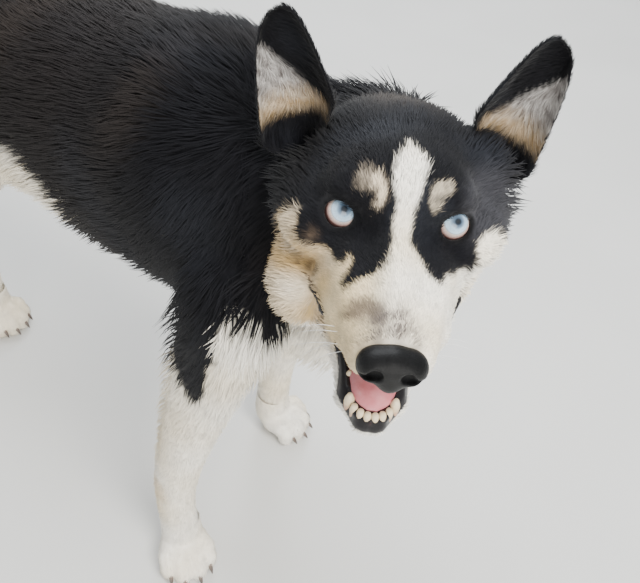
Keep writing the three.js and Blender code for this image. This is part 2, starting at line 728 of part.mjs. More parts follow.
function paw(name) {
  const { at, turn, size } = PAWS[name];
  const place = new THREE.Matrix4()
    .makeTranslation(at[0], at[1], 0)
    .multiply(new THREE.Matrix4().makeRotationZ(deg(turn)))
    .multiply(new THREE.Matrix4().makeScale(size, size, 1));
  const foot = wrap(pawForm, v(0, 4, 44), v(0, 0, 20), { rings: 2, sides: 12, ends: 2 });
  const pieces = [solidOf(foot, place)];
  for (const [x, tip, radius] of [[-20, -18, 10.4], [-7.6, -27, 11], [7.6, -27, 11], [20, -18, 10.4]]) {
    const toe = [
      [x * 0.8, 6, 25, radius],
      [x, tip * 0.5, 27, radius + 1],
      [x * 1.05, tip + 1, 18, radius + 0.6],
      [x * 1.05, tip + 1, 9.6, radius + 0.2],
    ];
    const claw = [[x * 1.08, tip - 6, 15.5, 2.8], [x * 1.13, tip - 15, 9, 1]];
    pieces.push(solidOf(limb(toe, { sides: 6, rings: 3, caps: 1 }), place));
    pieces.push(solidOf(limb(claw, { sides: 4, rings: 1 }), place));
  }
  const whole = keepPast(join(pieces), v(0, 0, 1), v(0, 0, 0));
  return keepPast(whole, v(0, 0, -1), v(0, 0, PAW_TOP), GAP / 2);
}

// Tail

// The core is the tail with its undercoat, and the locks reach out to the brush's own size.
const BRUSH = { length: 78, width: 33, thick: 9, sink: 4, lift: 2, core: 0.6 };
const tailCore = (grow = 0) => solidOf(limb(
  TAIL.map(([x, y, z, radius]) => [x, y, z, radius * BRUSH.core]),
  { sides: 10, rings: 9, grow, caps: 2 },
));

function brush() {
  const rows = { rows: 7, count: 4, from: 0, to: 0.93, facing: 0, spread: deg(360), seed: 13 };
  return limbLocks(TAIL, { ...BRUSH, ...rows }).map((geometry) => solidOf(geometry));
}

// Every sub-part in its place, with its own colour

const husky = new THREE.Group();

function addNode(name, solid, color, roughness = 0.9) {
  const material = new THREE.MeshStandardMaterial({ color, roughness, metalness: 0 });
  const mesh = new THREE.Mesh(geometryOf(largest(solid)), material);
  mesh.name = name;
  husky.add(mesh);
}

const legNames = Object.keys(LEGS);
const legs = (grow, ...without) => legNames
  .filter((name) => !without.includes(name))
  .map((name) => legCore(name, grow));
const roots = [...legs(GAP), tailCore(GAP)];
const shoulders = [trunkCore(GAP), ...roots];
const cheeks = (grow) => SIDES.flatMap(([, side]) => cheekLocks(side, grow));

const trunk = join([trunkCore(), ...bellyFringe()]);
addNode("torso", cut(trunk, [...roots, neckCore(GAP)]), 0x1c1b1d);
const ruffed = join([neckCore(), ...ruff(), ...bib()]);
addNode("neck", cut(ruffed, [headBody(GAP), ...cheeks(GAP), jawHull(GAP), ...shoulders]), 0x1c1b1d);

const eyes = SIDES.map(([, side]) => eyeBall(side, GAP));
const lids = SIDES.map(([, side]) => lidBall(side));
const slits = SIDES.map(([, side]) => eyeSlit(side));
const orbits = SIDES.map(([, side]) => orbit(side));
const lips = cut(join(upperLips()), [neckCore(GAP)]);
const cheekCoat = cut(join(cheeks(0)), [neckCore(GAP), jawHull(GAP), ...shoulders]);
const face = join([cut(headBody(), orbits), cheekCoat, lips, ...lids]);
addNode("head", cut(face, [...slits, ...eyes, nosePad(GAP), palate()]), 0x2a282b);

addNode("nose", cut(nosePad(), SIDES.map(([, side]) => nostril(side))), 0x17171a, 0.35);
addNode("jaw", jawBody(), 0xe8e0d2);
addNode("tongue", cut(tongueBody(), [headBody(GAP), neckCore(GAP)]), 0xc77f84, 0.4);
for (const [name, side] of SIDES) {
  addNode(`ear_${name}`, ear(side), 0x1a191b);
  addNode(`eye_${name}`, eyeBall(side), 0xa9c8dd, 0.1);
}
for (const name of legNames) {
  if (name in KNEE.place) {
    const others = [trunkCore(GAP), tailCore(GAP), ...legs(GAP, name)];
    const thigh = join([hindPart(name, 1), ...breeches(name)]);
    addNode(name.replace("hind", "thigh"), cut(thigh, others), 0xe6e1d8);
    addNode(`leg_${name}`, hindPart(name, -1), 0xf0ece4);
  } else {
    addNode(`leg_${name}`, legCore(name), 0xf0ece4);
  }
  addNode(`paw_${name}`, paw(name), 0xf3efe8);
}
addNode("tail", cut(join([tailCore(), ...brush()]), [trunkCore(GAP), ...legs(GAP)]), 0x2a2829);

// The origin goes under the middle of the dog's box.
const middle = new THREE.Box3().setFromObject(husky).getCenter(v(0, 0, 0));
husky.position.set(-middle.x, -middle.y, 0);

export default husky;
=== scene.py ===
# A siberian husky in its coat: one skin under the fur, tufts that lie as its hair does, eyes, nose,
# mouth and claws. Shapes are worked out in millimetres from a point on the floor between the front paws,
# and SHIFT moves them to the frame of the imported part.

import math

import bpy
import numpy as np
from mathutils import Matrix, Vector
from mathutils.kdtree import KDTree


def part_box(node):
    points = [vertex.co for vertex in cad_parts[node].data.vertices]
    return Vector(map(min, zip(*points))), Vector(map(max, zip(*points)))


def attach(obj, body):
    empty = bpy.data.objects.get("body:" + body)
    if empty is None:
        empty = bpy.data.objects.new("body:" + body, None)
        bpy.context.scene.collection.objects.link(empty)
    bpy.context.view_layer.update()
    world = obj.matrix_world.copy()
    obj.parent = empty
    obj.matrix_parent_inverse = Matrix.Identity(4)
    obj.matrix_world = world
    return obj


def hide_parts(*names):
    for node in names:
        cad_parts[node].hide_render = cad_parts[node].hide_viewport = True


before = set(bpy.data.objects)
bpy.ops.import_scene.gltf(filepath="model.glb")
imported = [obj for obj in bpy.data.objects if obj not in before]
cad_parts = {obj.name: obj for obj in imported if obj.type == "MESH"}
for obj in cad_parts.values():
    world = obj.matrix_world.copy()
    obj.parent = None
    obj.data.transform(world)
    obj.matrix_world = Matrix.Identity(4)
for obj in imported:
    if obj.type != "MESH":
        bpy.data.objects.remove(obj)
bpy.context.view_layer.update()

MM = 0.001
SIDES = (("L", 1), ("R", -1))

# The trunk from the forechest to the croup: y, the middle's x, the back's and belly's height, half width
TRUNK = [
    (-70, 0, 488, 350, 58),
    (0, 0, 545, 343, 84),
    (70, 0, 577, 341, 95),
    (150, -2, 569, 346, 94),
    (240, -14, 566, 364, 88),
    (330, -34, 569, 388, 79),
    (410, -55, 571, 400, 78),
    (480, -74, 546, 420, 66),
]

# The head's place is the point between the eyes. Its turn, nod and tilt are in degrees.
HEAD_AT = (-66, -123, 548)
HEAD_TURN, HEAD_NOD, HEAD_TILT = -58.7, -3.9, 4.8

# Sizes in the head's own frame: x to the dog's left, -y to the nose, z up
EYE_AT = (32.5, 8, -1)
EYE_RADIUS = 11
EYE_LOOK = (0.3, -0.94, 0.14)
EYE_SLIT = (9.6, 9.4)
EAR = {"inner": (43, 70, 42), "outer": (88, 74, 4), "tip": (85, 67, 90)}
EAR_RISE, EAR_CUP, EAR_THICK, EAR_STEPS = 76, 21, 3, 20
JAW = [(32, 12, -72, 16), (18, -24, -78, 10), (12, -56, -90, 8.5), (3, -70, -94, 9)]
JAW_TURN = -1.4
JAW_HINGE = (0, 50, -30)

# Leg stations from the body down: x, y, z, half width and half depth
LEGS = {
    "fore_L": [
        (62, -2, 458, 24, 30), (76, -8, 428, 31, 47), (87, 2, 370, 31, 46), (93, 16, 320, 28, 39),
        (99, 34, 250, 25, 31), (102, 50, 185, 21, 25), (103, 60, 130, 19.5, 22.5),
        (102, 63, 85, 19.5, 22), (101, 63, 30, 21, 23),
    ],
    "fore_R": [
        (-62, -6, 458, 24, 30), (-74, -14, 428, 31, 47), (-84, -6, 370, 31, 46), (-90, 4, 320, 28, 39),
        (-96, 18, 250, 26, 31), (-101, 29, 185, 23, 25), (-102, 36, 130, 21, 22.5),
        (-101, 36, 85, 20.5, 22), (-99, 34, 30, 22, 23),
    ],
    "hind_L": [
        (-24, 428, 486, 20, 34), (-14, 424, 450, 33, 64), (-6, 411, 385, 34, 62), (1, 408, 330, 29, 50),
        (4, 433, 275, 23, 35), (5, 472, 220, 18, 24), (5, 500, 178, 15.5, 20), (4, 494, 125, 15, 18),
        (0, 482, 75, 16, 18), (-6, 471, 30, 19, 21),
    ],
    "hind_R": [
        (-92, 430, 486, 20, 34), (-98, 426, 450, 33, 64), (-106, 414, 385, 34, 62),
        (-113, 418, 330, 29, 50), (-119, 448, 275, 23, 35), (-125, 490, 220, 18, 24),
        (-130, 522, 178, 15.5, 20), (-132, 522, 125, 15, 18), (-134, 516, 75, 16, 18),
        (-135, 510, 30, 19, 21),
    ],
}
PAWS = {
    "fore_L": {"at": (104, 50), "turn": 14, "size": 1},
    "fore_R": {"at": (-105, 24), "turn": -34, "size": 1},
    "hind_L": {"at": (-6, 459), "turn": 4, "size": 0.94},
    "hind_R": {"at": (-135, 499), "turn": -6, "size": 0.94},
}

# The tail's brush: x, y, z and radius
TAIL = [
    (-75, 506, 524, 32), (-76, 538, 538, 37), (-78, 572, 562, 41),
    (-78, 600, 603, 43), (-73, 607, 648, 36), (-65, 596, 688, 19),
]


def rotation(axis, degrees):
    return np.array(Matrix.Rotation(math.radians(degrees), 3, axis))


HEAD_TURNED = rotation("Y", HEAD_TILT) @ rotation("X", HEAD_NOD) @ rotation("Z", HEAD_TURN)
JAW_TURNED = rotation("Z", JAW_TURN)


def from_head(p):
    return p @ HEAD_TURNED.T + HEAD_AT


def to_head(p):
    return (p - HEAD_AT) @ HEAD_TURNED


def jaw_to_head(p):
    return (p - JAW_HINGE) @ JAW_TURNED.T + JAW_HINGE


def head_to_jaw(p):
    return (p - JAW_HINGE) @ JAW_TURNED + JAW_HINGE


# Soft forms, as distance functions that are negative inside, on arrays of points


def size_of(p):
    return np.sqrt((p * p).sum(-1))


def normed(p):
    """Arrays of directions at length one."""
    return p / np.maximum(size_of(p), 1e-6)[..., None]


def unit(v):
    return np.array(v, float) / np.linalg.norm(v)


def smooth(low, high, x):
    """From nought at low to one at high, which may be the smaller of the two."""
    t = np.clip((x - low) / (high - low), 0, 1)
    return t * t * (3 - 2 * t)


def ellipsoid(centre, radii):
    centre, radii = np.array(centre, float), np.array(radii, float)

    def form(p):
        q = (p - centre) / radii
        near = size_of(q)
        return near * (near - 1) / np.maximum(size_of(q / radii), 1e-6)

    return form


def on_line(p, start, end):
    """How far along a line the nearest place to each point is, from 0 to 1, and its distance."""
    way = np.subtract(end, start)
    t = np.clip((p - start) @ way / (way @ way), 0, 1)
    return t, size_of(p - start - t[..., None] * way)


def bone(a, b):
    """A round stick between two places, each given with its radius."""

    def form(p):
        t, away = on_line(p, a[:3], b[:3])
        return away - a[3] - t * (b[3] - a[3])

    return form


def chain(points, width=4):
    return melt(width, *map(bone, points, points[1:]))


def blended(a, b, width):
    share = np.maximum(width - np.abs(a - b), 0) / width
    return np.minimum(a, b) - share * share * width / 4


def melt(width, *forms):
    def form(p):
        total = forms[0](p)
        for one in forms[1:]:
            total = blended(total, one(p), width)
        return total

    return form


def carved(field, tool, width=2):
    return -blended(-field, tool, width)


def folded(p):
    """The points with their x above nought, for what is alike on both sides."""
    return np.concatenate([np.abs(p[..., :1]), p[..., 1:]], -1)


def mirrored(form):
    return lambda p: form(folded(p))


def box_form(low, high):
    middle, half = np.add(high, low) / 2, np.subtract(high, low) / 2
    return lambda p: (np.abs(p - middle) - half).max(-1)


def smooth_rows(rows, steps=12):
    rows = np.array(rows, float)
    padded = np.vstack([2 * rows[0] - rows[1], rows, 2 * rows[-1] - rows[-2]])
    made = []
    for a, b, c, d in zip(padded, padded[1:], padded[2:], padded[3:]):
        for t in np.arange(steps) / steps:
            made.append(0.5 * (2 * b + (c - a) * t + (2 * a - 5 * b + 4 * c - d) * t * t
                               + (3 * b - a - 3 * c + d) * t ** 3))
    return np.vstack([made, rows[-1]])


def swept(stations, axis, other):
    """A tube with elliptical sections across an axis, 2 for an upright limb and 1 for a form along y."""
    rows = smooth_rows(stations)
    rows = rows[np.argsort(rows[:, axis], kind="stable")]
    gain = np.gradient(rows[:, axis])
    slope = np.gradient(rows[:, other]) / np.where(np.abs(gain) < 1e-6, 1e-6, gain)
    lean = np.sqrt(1 + np.clip(slope, -2, 2) ** 2)

    def form(p):
        along = p[..., axis]
        at = [np.interp(along, rows[:, axis], column) for column in
              (rows[:, 0], rows[:, other], rows[:, 3], rows[:, 4] * lean)]
        x, y = (p[..., 0] - at[0]) / at[2], (p[..., other] - at[1]) / at[3]
        near = np.hypot(x, y)
        side = near * (near - 1) / np.maximum(np.hypot(x / at[2], y / at[3]), 1e-6)
        return np.maximum(side, np.maximum(rows[0, axis] - along, along - rows[-1, axis]))

    return form


# The body's forms, the same as the solids'

trunk_rows = smooth_rows(TRUNK, 24)


def barrel(p):
    x, top, low, half = [np.interp(p[..., 1], trunk_rows[:, 0], trunk_rows[:, c]) for c in (1, 2, 3, 4)]
    high = (top - low) / 2
    across = np.abs((p[..., 0] - x) / half) ** 2.2
    up = np.abs((p[..., 2] - low - high) / high) ** 2.2
    around = ((across + up) ** (1 / 2.2) - 1) * np.minimum(half, high)
    return np.maximum(around, np.maximum(TRUNK[0][0] - p[..., 1], p[..., 1] - TRUNK[-1][0]))


body_form = melt(
    32,
    barrel,
    ellipsoid((0, -64, 420), (62, 52, 74)),
    ellipsoid((-75, 474, 484), (62, 50, 66)),
    bone((6, 58, 478, 84), (22, -16, 490, 59)),
    bone((22, -16, 490, 59), (28, -60, 512, 51)),
    bone((28, -60, 512, 51), (12, -86, 520, 44)),
    bone((0, -52, 420, 56), (8, -84, 480, 46)),
)

skull = melt(
    16,
    ellipsoid((0, 60, 2), (58, 64, 45)),
    ellipsoid((0, 20, 11), (42, 28, 27)),
    ellipsoid((25, 8, 14), (19, 15, 12)),
    ellipsoid((46, 26, -15), (26, 37, 25)),
    ellipsoid((50, 54, -26), (28, 37, 34)),
    ellipsoid((37, 38, -54), (27, 38, 29)),
    ellipsoid((0, 62, -54), (46, 44, 36)),
)
muzzle = melt(
    9,
    bone((0, -4, -9, 17), (0, -78, -23, 12)),
    bone((20, -6, -25, 22), (11, -76, -31, 13)),
    bone((34, -8, -39, 12), (24, -46, -41, 10)),
    bone((24, -46, -41, 10), (14, -78, -39, 8)),
    bone((0, -6, -32, 16), (0, -78, -34, 12)),
)
full_cheek = ellipsoid((-50, 22, -66), (27, 38, 27))
head_form = melt(16, mirrored(melt(13, skull, muzzle)), full_cheek)


# Surfaces from forms


def net(form, low, high, step):
    """The surface of a form, as points and four-sided faces, from a grid with a given step."""
    low = np.array(low, float)
    counts = np.ceil((np.array(high, float) - low) / step).astype(int) + 1
    lines = [low[i] + step * np.arange(counts[i]) for i in range(3)]
    y, z = np.meshgrid(lines[1], lines[2], indexing="ij")
    values = np.empty(counts, np.float32)
    for i, x in enumerate(lines[0]):
        values[i] = form(np.stack([np.full_like(y, x), y, z], -1))
    corners = [np.array((i, j, k)) for i in (0, 1) for j in (0, 1) for k in (0, 1)]
    inside = values < 0
    spans = counts - 1
    filled = np.zeros(spans, np.int8)
    for i, j, k in corners:
        filled += inside[i:i + spans[0], j:j + spans[1], k:k + spans[2]]
    cells = np.argwhere((filled > 0) & (filled < 8))
    total, crossings = np.zeros((len(cells), 3)), np.zeros(len(cells))
    for corner in corners:
        for axis in np.flatnonzero(corner == 0):
            start = cells + corner
            end = start.copy()
            end[:, axis] += 1
            a, b = values[tuple(start.T)], values[tuple(end.T)]
            crossed = (a < 0) != (b < 0)
            at = start[crossed].astype(float)
            at[:, axis] += a[crossed] / (a[crossed] - b[crossed])
            total[crossed] += at
            crossings[crossed] += 1
    numbers = np.full(spans, -1)
    numbers[tuple(cells.T)] = np.arange(len(cells))
    faces = []
    units = np.eye(3, dtype=int)
    for axis in range(3):
        along, u, v = units[axis], units[(axis + 1) % 3], units[(axis + 2) % 3]
        edges = np.argwhere(np.diff(inside, axis=axis))
        at_u, at_v = edges @ u, edges @ v
        edges = edges[(at_u > 0) & (at_v > 0) & (at_u < spans @ u) & (at_v < spans @ v)]
        quads = np.stack([numbers[tuple((edges - back).T)] for back in (u + v, v, 0 * along, u)], -1)
        inward = ~inside[tuple(edges.T)]
        quads[inward] = quads[inward][:, ::-1]
        faces.append(quads)
    return low + step * total / crossings[:, None], np.vstack(faces)


def joined(shells):
    """Several shells as one, of points and faces, in the order given."""
    points, faces, start = [], [], 0
    for shell_points, shell_faces in shells:
        points.append(shell_points)
        faces.append(shell_faces + start)
        start += len(shell_points)
    return np.vstack(points), np.vstack(faces)


def round_way(turns, side, up):
    """The ways round a circle, for one or more pairs of its side and up."""
    return np.cos(turns)[:, None] * side + np.sin(turns)[:, None] * up


def tube(rows, sides, steps):
    """A round tube along rows of x, y, z and radius, closed at both ends."""
    rows = smooth_rows(rows, steps)
    way = normed(np.gradient(rows[:, :3], axis=0))
    side = normed(np.cross(way, (0.13, 0.2, 1.0)))
    up = np.cross(side, way)
    turns = np.linspace(0, 2 * np.pi, sides, endpoint=False)
    return closed(rows[:, None, :3] + rows[:, None, 3:] * round_way(turns, side[:, None], up[:, None]))


def closed(rings):
    """Quads over rings of points, with an end of quads at each side, folded to the ring's middle."""
    count, sides = rings.shape[:2]
    ends = [np.repeat(rings[i].mean(0)[None], sides, 0) for i in (0, -1)]
    rings = np.concatenate([ends[0][None], rings, ends[1][None]])
    at = np.arange((count + 2) * sides).reshape(count + 2, sides)
    across = np.roll(at, -1, 1)
    quads = np.stack([at[:-1], at[1:], across[1:], across[:-1]], -1).reshape(-1, 4)
    return rings.reshape(-1, 3), quads


eye_low, eye_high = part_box("eye_L")
SHIFT = (np.add(eye_low, eye_high) / 2 - from_head(np.array(EYE_AT, float)) * MM) * (1, 1, 0)


def new_piece(name, shell, material):
    """An object from a shell in millimetres, with smooth shading, that rides on the body."""
    points, faces = shell
    mesh = bpy.data.meshes.new(name)
    mesh.vertices.add(len(points))
    mesh.vertices.foreach_set("co", (points * MM + SHIFT).astype(np.float32).ravel())
    mesh.loops.add(faces.size)
    mesh.loops.foreach_set("vertex_index", faces.astype(np.int32).ravel())
    mesh.polygons.add(len(faces))
    mesh.polygons.foreach_set("loop_start", np.arange(0, faces.size, faces.shape[1], dtype=np.int32))
    mesh.update(calc_edges=True)
    mesh.polygons.foreach_set("use_smooth", np.ones(len(faces), bool))
    mesh.materials.append(material)
    piece = bpy.data.objects.new(name, mesh)
    bpy.context.scene.collection.objects.link(piece)
    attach(piece, "root")
    return piece


def paint(piece, name, values):
    """A value or colour at each point, under the name that materials read."""
    values = np.asarray(values, np.float32)
    kind, key = ("FLOAT", "value") if values.ndim == 1 else ("FLOAT_COLOR", "color")
    if values.ndim == 2:
        values = np.column_stack([values, np.ones(len(values), np.float32)])
    piece.data.attributes.new(name, kind, "POINT").data.foreach_set(key, values.ravel())


# Skin under the coat

# How far the skin lies inside the solids on the body
COAT_DEPTH = 10
leg_forms = {name: swept(stations, 2, 1) for name, stations in LEGS.items()}
tail_core = chain([(x, y, z, 0.6 * r) for x, y, z, r in TAIL], 10)


def limbs(p):
    depth = 2.2 + 4 * smooth(140, 420, p[..., 2])
    total = tail_core(p)
    for form in leg_forms.values():
        total = np.minimum(total, form(p) + depth)
    return total


def trunk_and_limbs(p):
    return blended(body_form(p) + COAT_DEPTH, limbs(p), 22)


def head_depth(q):
    return 1.2 + 4.6 * smooth(-52, 52, q[..., 1])


palate = swept([
    (0, 18, -58, 20, 7), (0, -20, -52, 18, 8), (0, -56, -49, 12, 7), (0, -78, -48, 7, 4),
], 1, 2)
trough = swept([
    (0, 36, -52, 17, 12), (0, -10, -64, 14.5, 11), (0, -40, -75, 12, 9), (0, -62, -83, 8.5, 7),
], 1, 2)
tongue_form = swept([
    (0, 20, -59, 19, 7), (0, -10, -66, 19, 6.5), (0, -38, -75, 17, 5.5), (0, -54, -79.5, 15, 5),
    (0, -62, -81, 13, 4.5), (0, -68, -82.5, 9.5, 3.4), (0, -72.5, -84, 3, 1),
], 1, 2)
upper_lip = mirrored(chain([
    (46, -4, -48, 2.4), (37, -26, -50, 2.2), (26, -56, -49, 2), (8, -84, -45, 1.8),
]))
lower_lip = mirrored(chain([
    (25, -4, -62, 2), (20, -32, -73, 2), (15.5, -57, -83, 2), (8, -72, -87, 2), (-1, -76, -88, 2),
]))
jaw_core = mirrored(melt(8, *map(bone, JAW, JAW[1:]), ellipsoid((0, -20, -86), (20, 52, 11))))

look = unit(EYE_LOOK)
eye_side = unit(np.array((1, 0, 0.2)) - look * look[0])
eye_up = np.cross(look, eye_side)


def eye_field(q):
    """The lids: a ball about the eye with an almond slit, all as for the left eye."""
    d = q - np.array(EYE_AT, float)
    across, up, out = d @ eye_side / EYE_SLIT[0], (d @ eye_up - 0.8) / EYE_SLIT[1], d @ look
    slit = (np.sqrt(np.abs(across) ** 1.7 + np.abs(up) ** 2) - 1) * EYE_SLIT[1]
    return size_of(d), np.maximum(slit, -out)


def with_eye(q, field):
    left = folded(q)
    away, slit = eye_field(left)
    dish = ellipsoid(np.array(EYE_AT) + 19 * look, (15, 10, 13))
    field = carved(field, dish(left), 5)
    field = carved(field, np.maximum(slit, away - EYE_RADIUS - 6), 1)
    lids = np.maximum(away - EYE_RADIUS - 1.9, -slit)
    field = blended(field, lids, 2.5)
    return np.maximum(field, EYE_RADIUS + 0.2 - away)


nose_form = mirrored(melt(
    4,
    ellipsoid((0, -90, -29), (14, 10, 12)),
    ellipsoid((10, -90, -30), (9, 9, 10)),
    ellipsoid((0, -92, -38), (7, 7, 7)),
))

# The neck's fur stands out behind the left cheek, on the inside of the bend
far_ruff = ellipsoid((51, 62, -4), (20, 26, 32))


def head_flesh(q):
    """The head without the jaw, in the head's own frame, melted into the neck."""
    field = head_form(q) + head_depth(q)
    field = blended(field, trunk_and_limbs(from_head(q)), 18)
    field = blended(field, far_ruff(q), 14)
    field = carved(field, palate(q), 2)
    field = blended(field, upper_lip(q), 3)
    return with_eye(q, field)


def jaw_flesh(q):
    """The jaw, in its own frame, with the bowl for the tongue."""
    field = carved(jaw_core(q) + 1, trough(q), 2)
    return blended(field, lower_lip(q), 3)


def ear_places(side):
    """An ear's inner and outer foot and its tip."""
    return [np.array(place, float) * (side, 1, 1) for place in EAR.values()]


def ear_sheet(side):
    """An ear as a thin curved sheet with two faces."""
    inner, outer, tip = ear_places(1)
    out = unit(outer - inner)
    rise = unit(tip - (inner + outer) / 2)
    back = unit(np.cross(rise, out))
    rings = []
    for t in np.concatenate([np.linspace(-0.36, 0.8, 24), [0.85, 0.9, 0.94, 0.97, 0.985]]):
        left = max(t, 0)
        narrow = math.sqrt(max(1 - left ** 2.2, 0)) * (1 - 0.42 * left)
        middle = inner + (outer - inner) * (0.5 - 0.02 * t) + rise * t * EAR_RISE
        middle = middle + (tip - middle) * left ** 2 * 0.9
        half = np.linalg.norm(outer - inner) / 2 * narrow * (1 + 1.9 * min(t, 0))
        cup = EAR_CUP * narrow
        thick = EAR_THICK * (0.35 + 0.65 * narrow)

        def at(s, depth, reach):
            behind = back * (np.sin(s * np.pi) * depth - 0.35 * cup)
            return middle - out * np.cos(s * np.pi) * reach + behind

        outside = [at(s, cup - 0.5, half - 0.5) for s in np.linspace(0, 1, EAR_STEPS + 1)]
        hollow = [at(s, cup - 0.5 - thick, half - 1.6) for s in np.linspace(0.98, 0.02, EAR_STEPS + 1)]
        rings.append((outside + hollow)[::-1])
    points, faces = closed(np.array(rings))
    points = points * (side, 1, 1)
    return points, faces[:, ::-1] if side > 0 else faces


def turned_paw(name, p):
    """Points of a paw's own frame in the dog's."""
    paw = PAWS[name]
    turned = p * (paw["size"], paw["size"], 1) @ rotation("Z", paw["turn"]).T
    return turned + (paw["at"][0], paw["at"][1], 0)


# The toes of a paw: x, how far the tip comes forward and radius
TOES = [(-20, -18, 10.4), (-7.6, -27, 11), (7.6, -27, 11), (20, -18, 10.4)]


def toe_form(x, tip, r):
    return chain([
        (0.8 * x, 6, 25, r), (x, tip / 2, 27, r + 1), (1.05 * x, tip + 1, 18, r + 0.6),
        (1.05 * x, tip + 1, 9.6, r + 0.2),
    ], 3)


paw_core = melt(
    6,
    bone((0, 14, 70, 20), (0, 12, 34, 23)),
    ellipsoid((0, -3, 22), (28, 28, 18)),
    ellipsoid((0, 4, 10), (20, 20, 13)),
)
toe_forms = [toe_form(*toe) for toe in TOES]


def paw_flesh(p):
    total = np.full(p.shape[:-1], 1e3)
    for toe in toe_forms:
        total = blended(total, toe(p), 1.5)
    return np.maximum(blended(paw_core(p), total, 5) + 1.4, 0.4 - p[..., 2])


# Inside this box the skin is cut finely with the head, and outside it coarsely with the body
HEAD_BOX = np.array([(-96, -108, -122), (96, 128, 78)])
head_box = box_form(*HEAD_BOX)


def body_without_head(p):
    return np.maximum(trunk_and_limbs(p), -head_box(to_head(p)) - 0.6)


def boxed_head(q):
    return np.maximum(head_flesh(q), head_box(q))


def skin_shells():
    """The skin's parts by name, each as points and faces in the dog's frame."""
    coarse = 1
    shells = {}
    shells["body"] = net(body_without_head, (-190, -150, 34), (175, 660, 760), 6.5 * coarse)
    points, faces = net(boxed_head, HEAD_BOX[0] - 3, HEAD_BOX[1] + 3, 1.8 * coarse)
    shells["head"] = from_head(points), faces
    points, faces = net(jaw_flesh, (-56, -92, -112), (56, 34, -44), 1.6 * coarse)
    shells["jaw"] = from_head(jaw_to_head(points)), faces
    for name, side in SIDES:
        points, faces = ear_sheet(side)
        shells["ear_" + name] = from_head(points), faces
    for name in PAWS:
        points, faces = net(paw_flesh, (-38, -46, -2), (38, 40, 62), 2.4 * coarse)
        shells["paw_" + name] = turned_paw(name, points), faces
    return shells


# Materials


def material(name):
    made = bpy.data.materials.new(name)
    made.use_nodes = True
    return made, made.node_tree, made.node_tree.nodes["Principled BSDF"]


def set_up(node, **settings):
    """Sets a node's inputs, which have capital letters, and its own settings."""
    for key, value in settings.items():
        if key[0].isupper():
            node.inputs[key.replace("_", " ")].default_value = value
        else:
            setattr(node, key, value)
    return node


def added(tree, kind, **settings):
    return set_up(tree.nodes.new(kind), **settings)


def painted(tree, name, output):
    return added(tree, "ShaderNodeAttribute", attribute_name=name).outputs[output]


def ramp(tree, source, stops):
    node = tree.nodes.new("ShaderNodeValToRGB")
    elements = node.color_ramp.elements
    while len(elements) < len(stops):
        elements.new(0.5)
    for element, (place, colour) in zip(elements, stops):
        element.position = place
        element.color = (*colour, 1)
    tree.links.new(source, node.inputs["Fac"])
    return node.outputs["Color"]


def bump(tree, principled, height, strength, distance):
    node = added(tree, "ShaderNodeBump", Strength=strength, Distance=distance)
    tree.links.new(height, node.inputs["Height"])
    tree.links.new(node.outputs["Normal"], principled.inputs["Normal"])


def noise(tree, scale, detail=3, vector=None):
    node = added(tree, "ShaderNodeTexNoise", Scale=scale, Detail=detail)
    if vector is None:
        vector = tree.nodes.new("ShaderNodeTexCoord").outputs["Object"]
    tree.links.new(vector, node.inputs["Vector"])
    return node.outputs["Fac"]


def multiplied(tree, colour, factor, low, high):
    """A colour that a factor from 0 to 1 darkens or lightens between two limits."""
    spread = added(tree, "ShaderNodeMapRange", To_Min=low, To_Max=high)
    tree.links.new(factor, spread.inputs["Value"])
    scaled = added(tree, "ShaderNodeVectorMath", operation="SCALE")
    tree.links.new(colour, scaled.inputs[0])
    tree.links.new(spread.outputs["Result"], scaled.inputs["Scale"])
    return scaled.outputs["Vector"]


def coat_material(name, roughness, sheen):
    """Fur or skin in the colour painted on its points, with fine streaks and a soft sheen."""
    made, tree, principled = material(name)
    tone = painted(tree, "Tone", "Color")
    streaks = noise(tree, 900, 2)
    patches = noise(tree, 55, 2)
    varied = multiplied(tree, multiplied(tree, tone, streaks, 0.85, 1.15), patches, 0.92, 1.08)
    tree.links.new(varied, principled.inputs["Base Color"])
    set_up(principled, Roughness=roughness, Specular_IOR_Level=0.14, Sheen_Weight=sheen,
           Sheen_Roughness=0.5)
    bump(tree, principled, streaks, 0.25, 0.0006)
    return made


def wetted(made, roughness):
    """Makes a material smooth and moist where the points are painted wet."""
    tree = made.node_tree
    smoothness = added(tree, "ShaderNodeMapRange", To_Min=roughness, To_Max=0.2)
    tree.links.new(painted(tree, "Wet", "Fac"), smoothness.inputs["Value"])
    tree.links.new(smoothness.outputs["Result"], tree.nodes["Principled BSDF"].inputs["Roughness"])


def tongue_material():
    """The tongue's mottled pink, with a fine grain and a wet coat."""
    made, tree, principled = material("tongue")
    grain = noise(tree, 1100, 4)
    mottled = ramp(tree, noise(tree, 90, 3), [(0.3, (0.48, 0.13, 0.15)), (0.7, (0.62, 0.25, 0.27))])
    tree.links.new(mottled, principled.inputs["Base Color"])
    set_up(principled, Roughness=0.35, Subsurface_Weight=0.15, Subsurface_Radius=(0.004, 0.0015, 0.001),
           Coat_Weight=0.6, Coat_Roughness=0.12)
    bump(tree, principled, grain, 0.35, 0.0007)
    return made


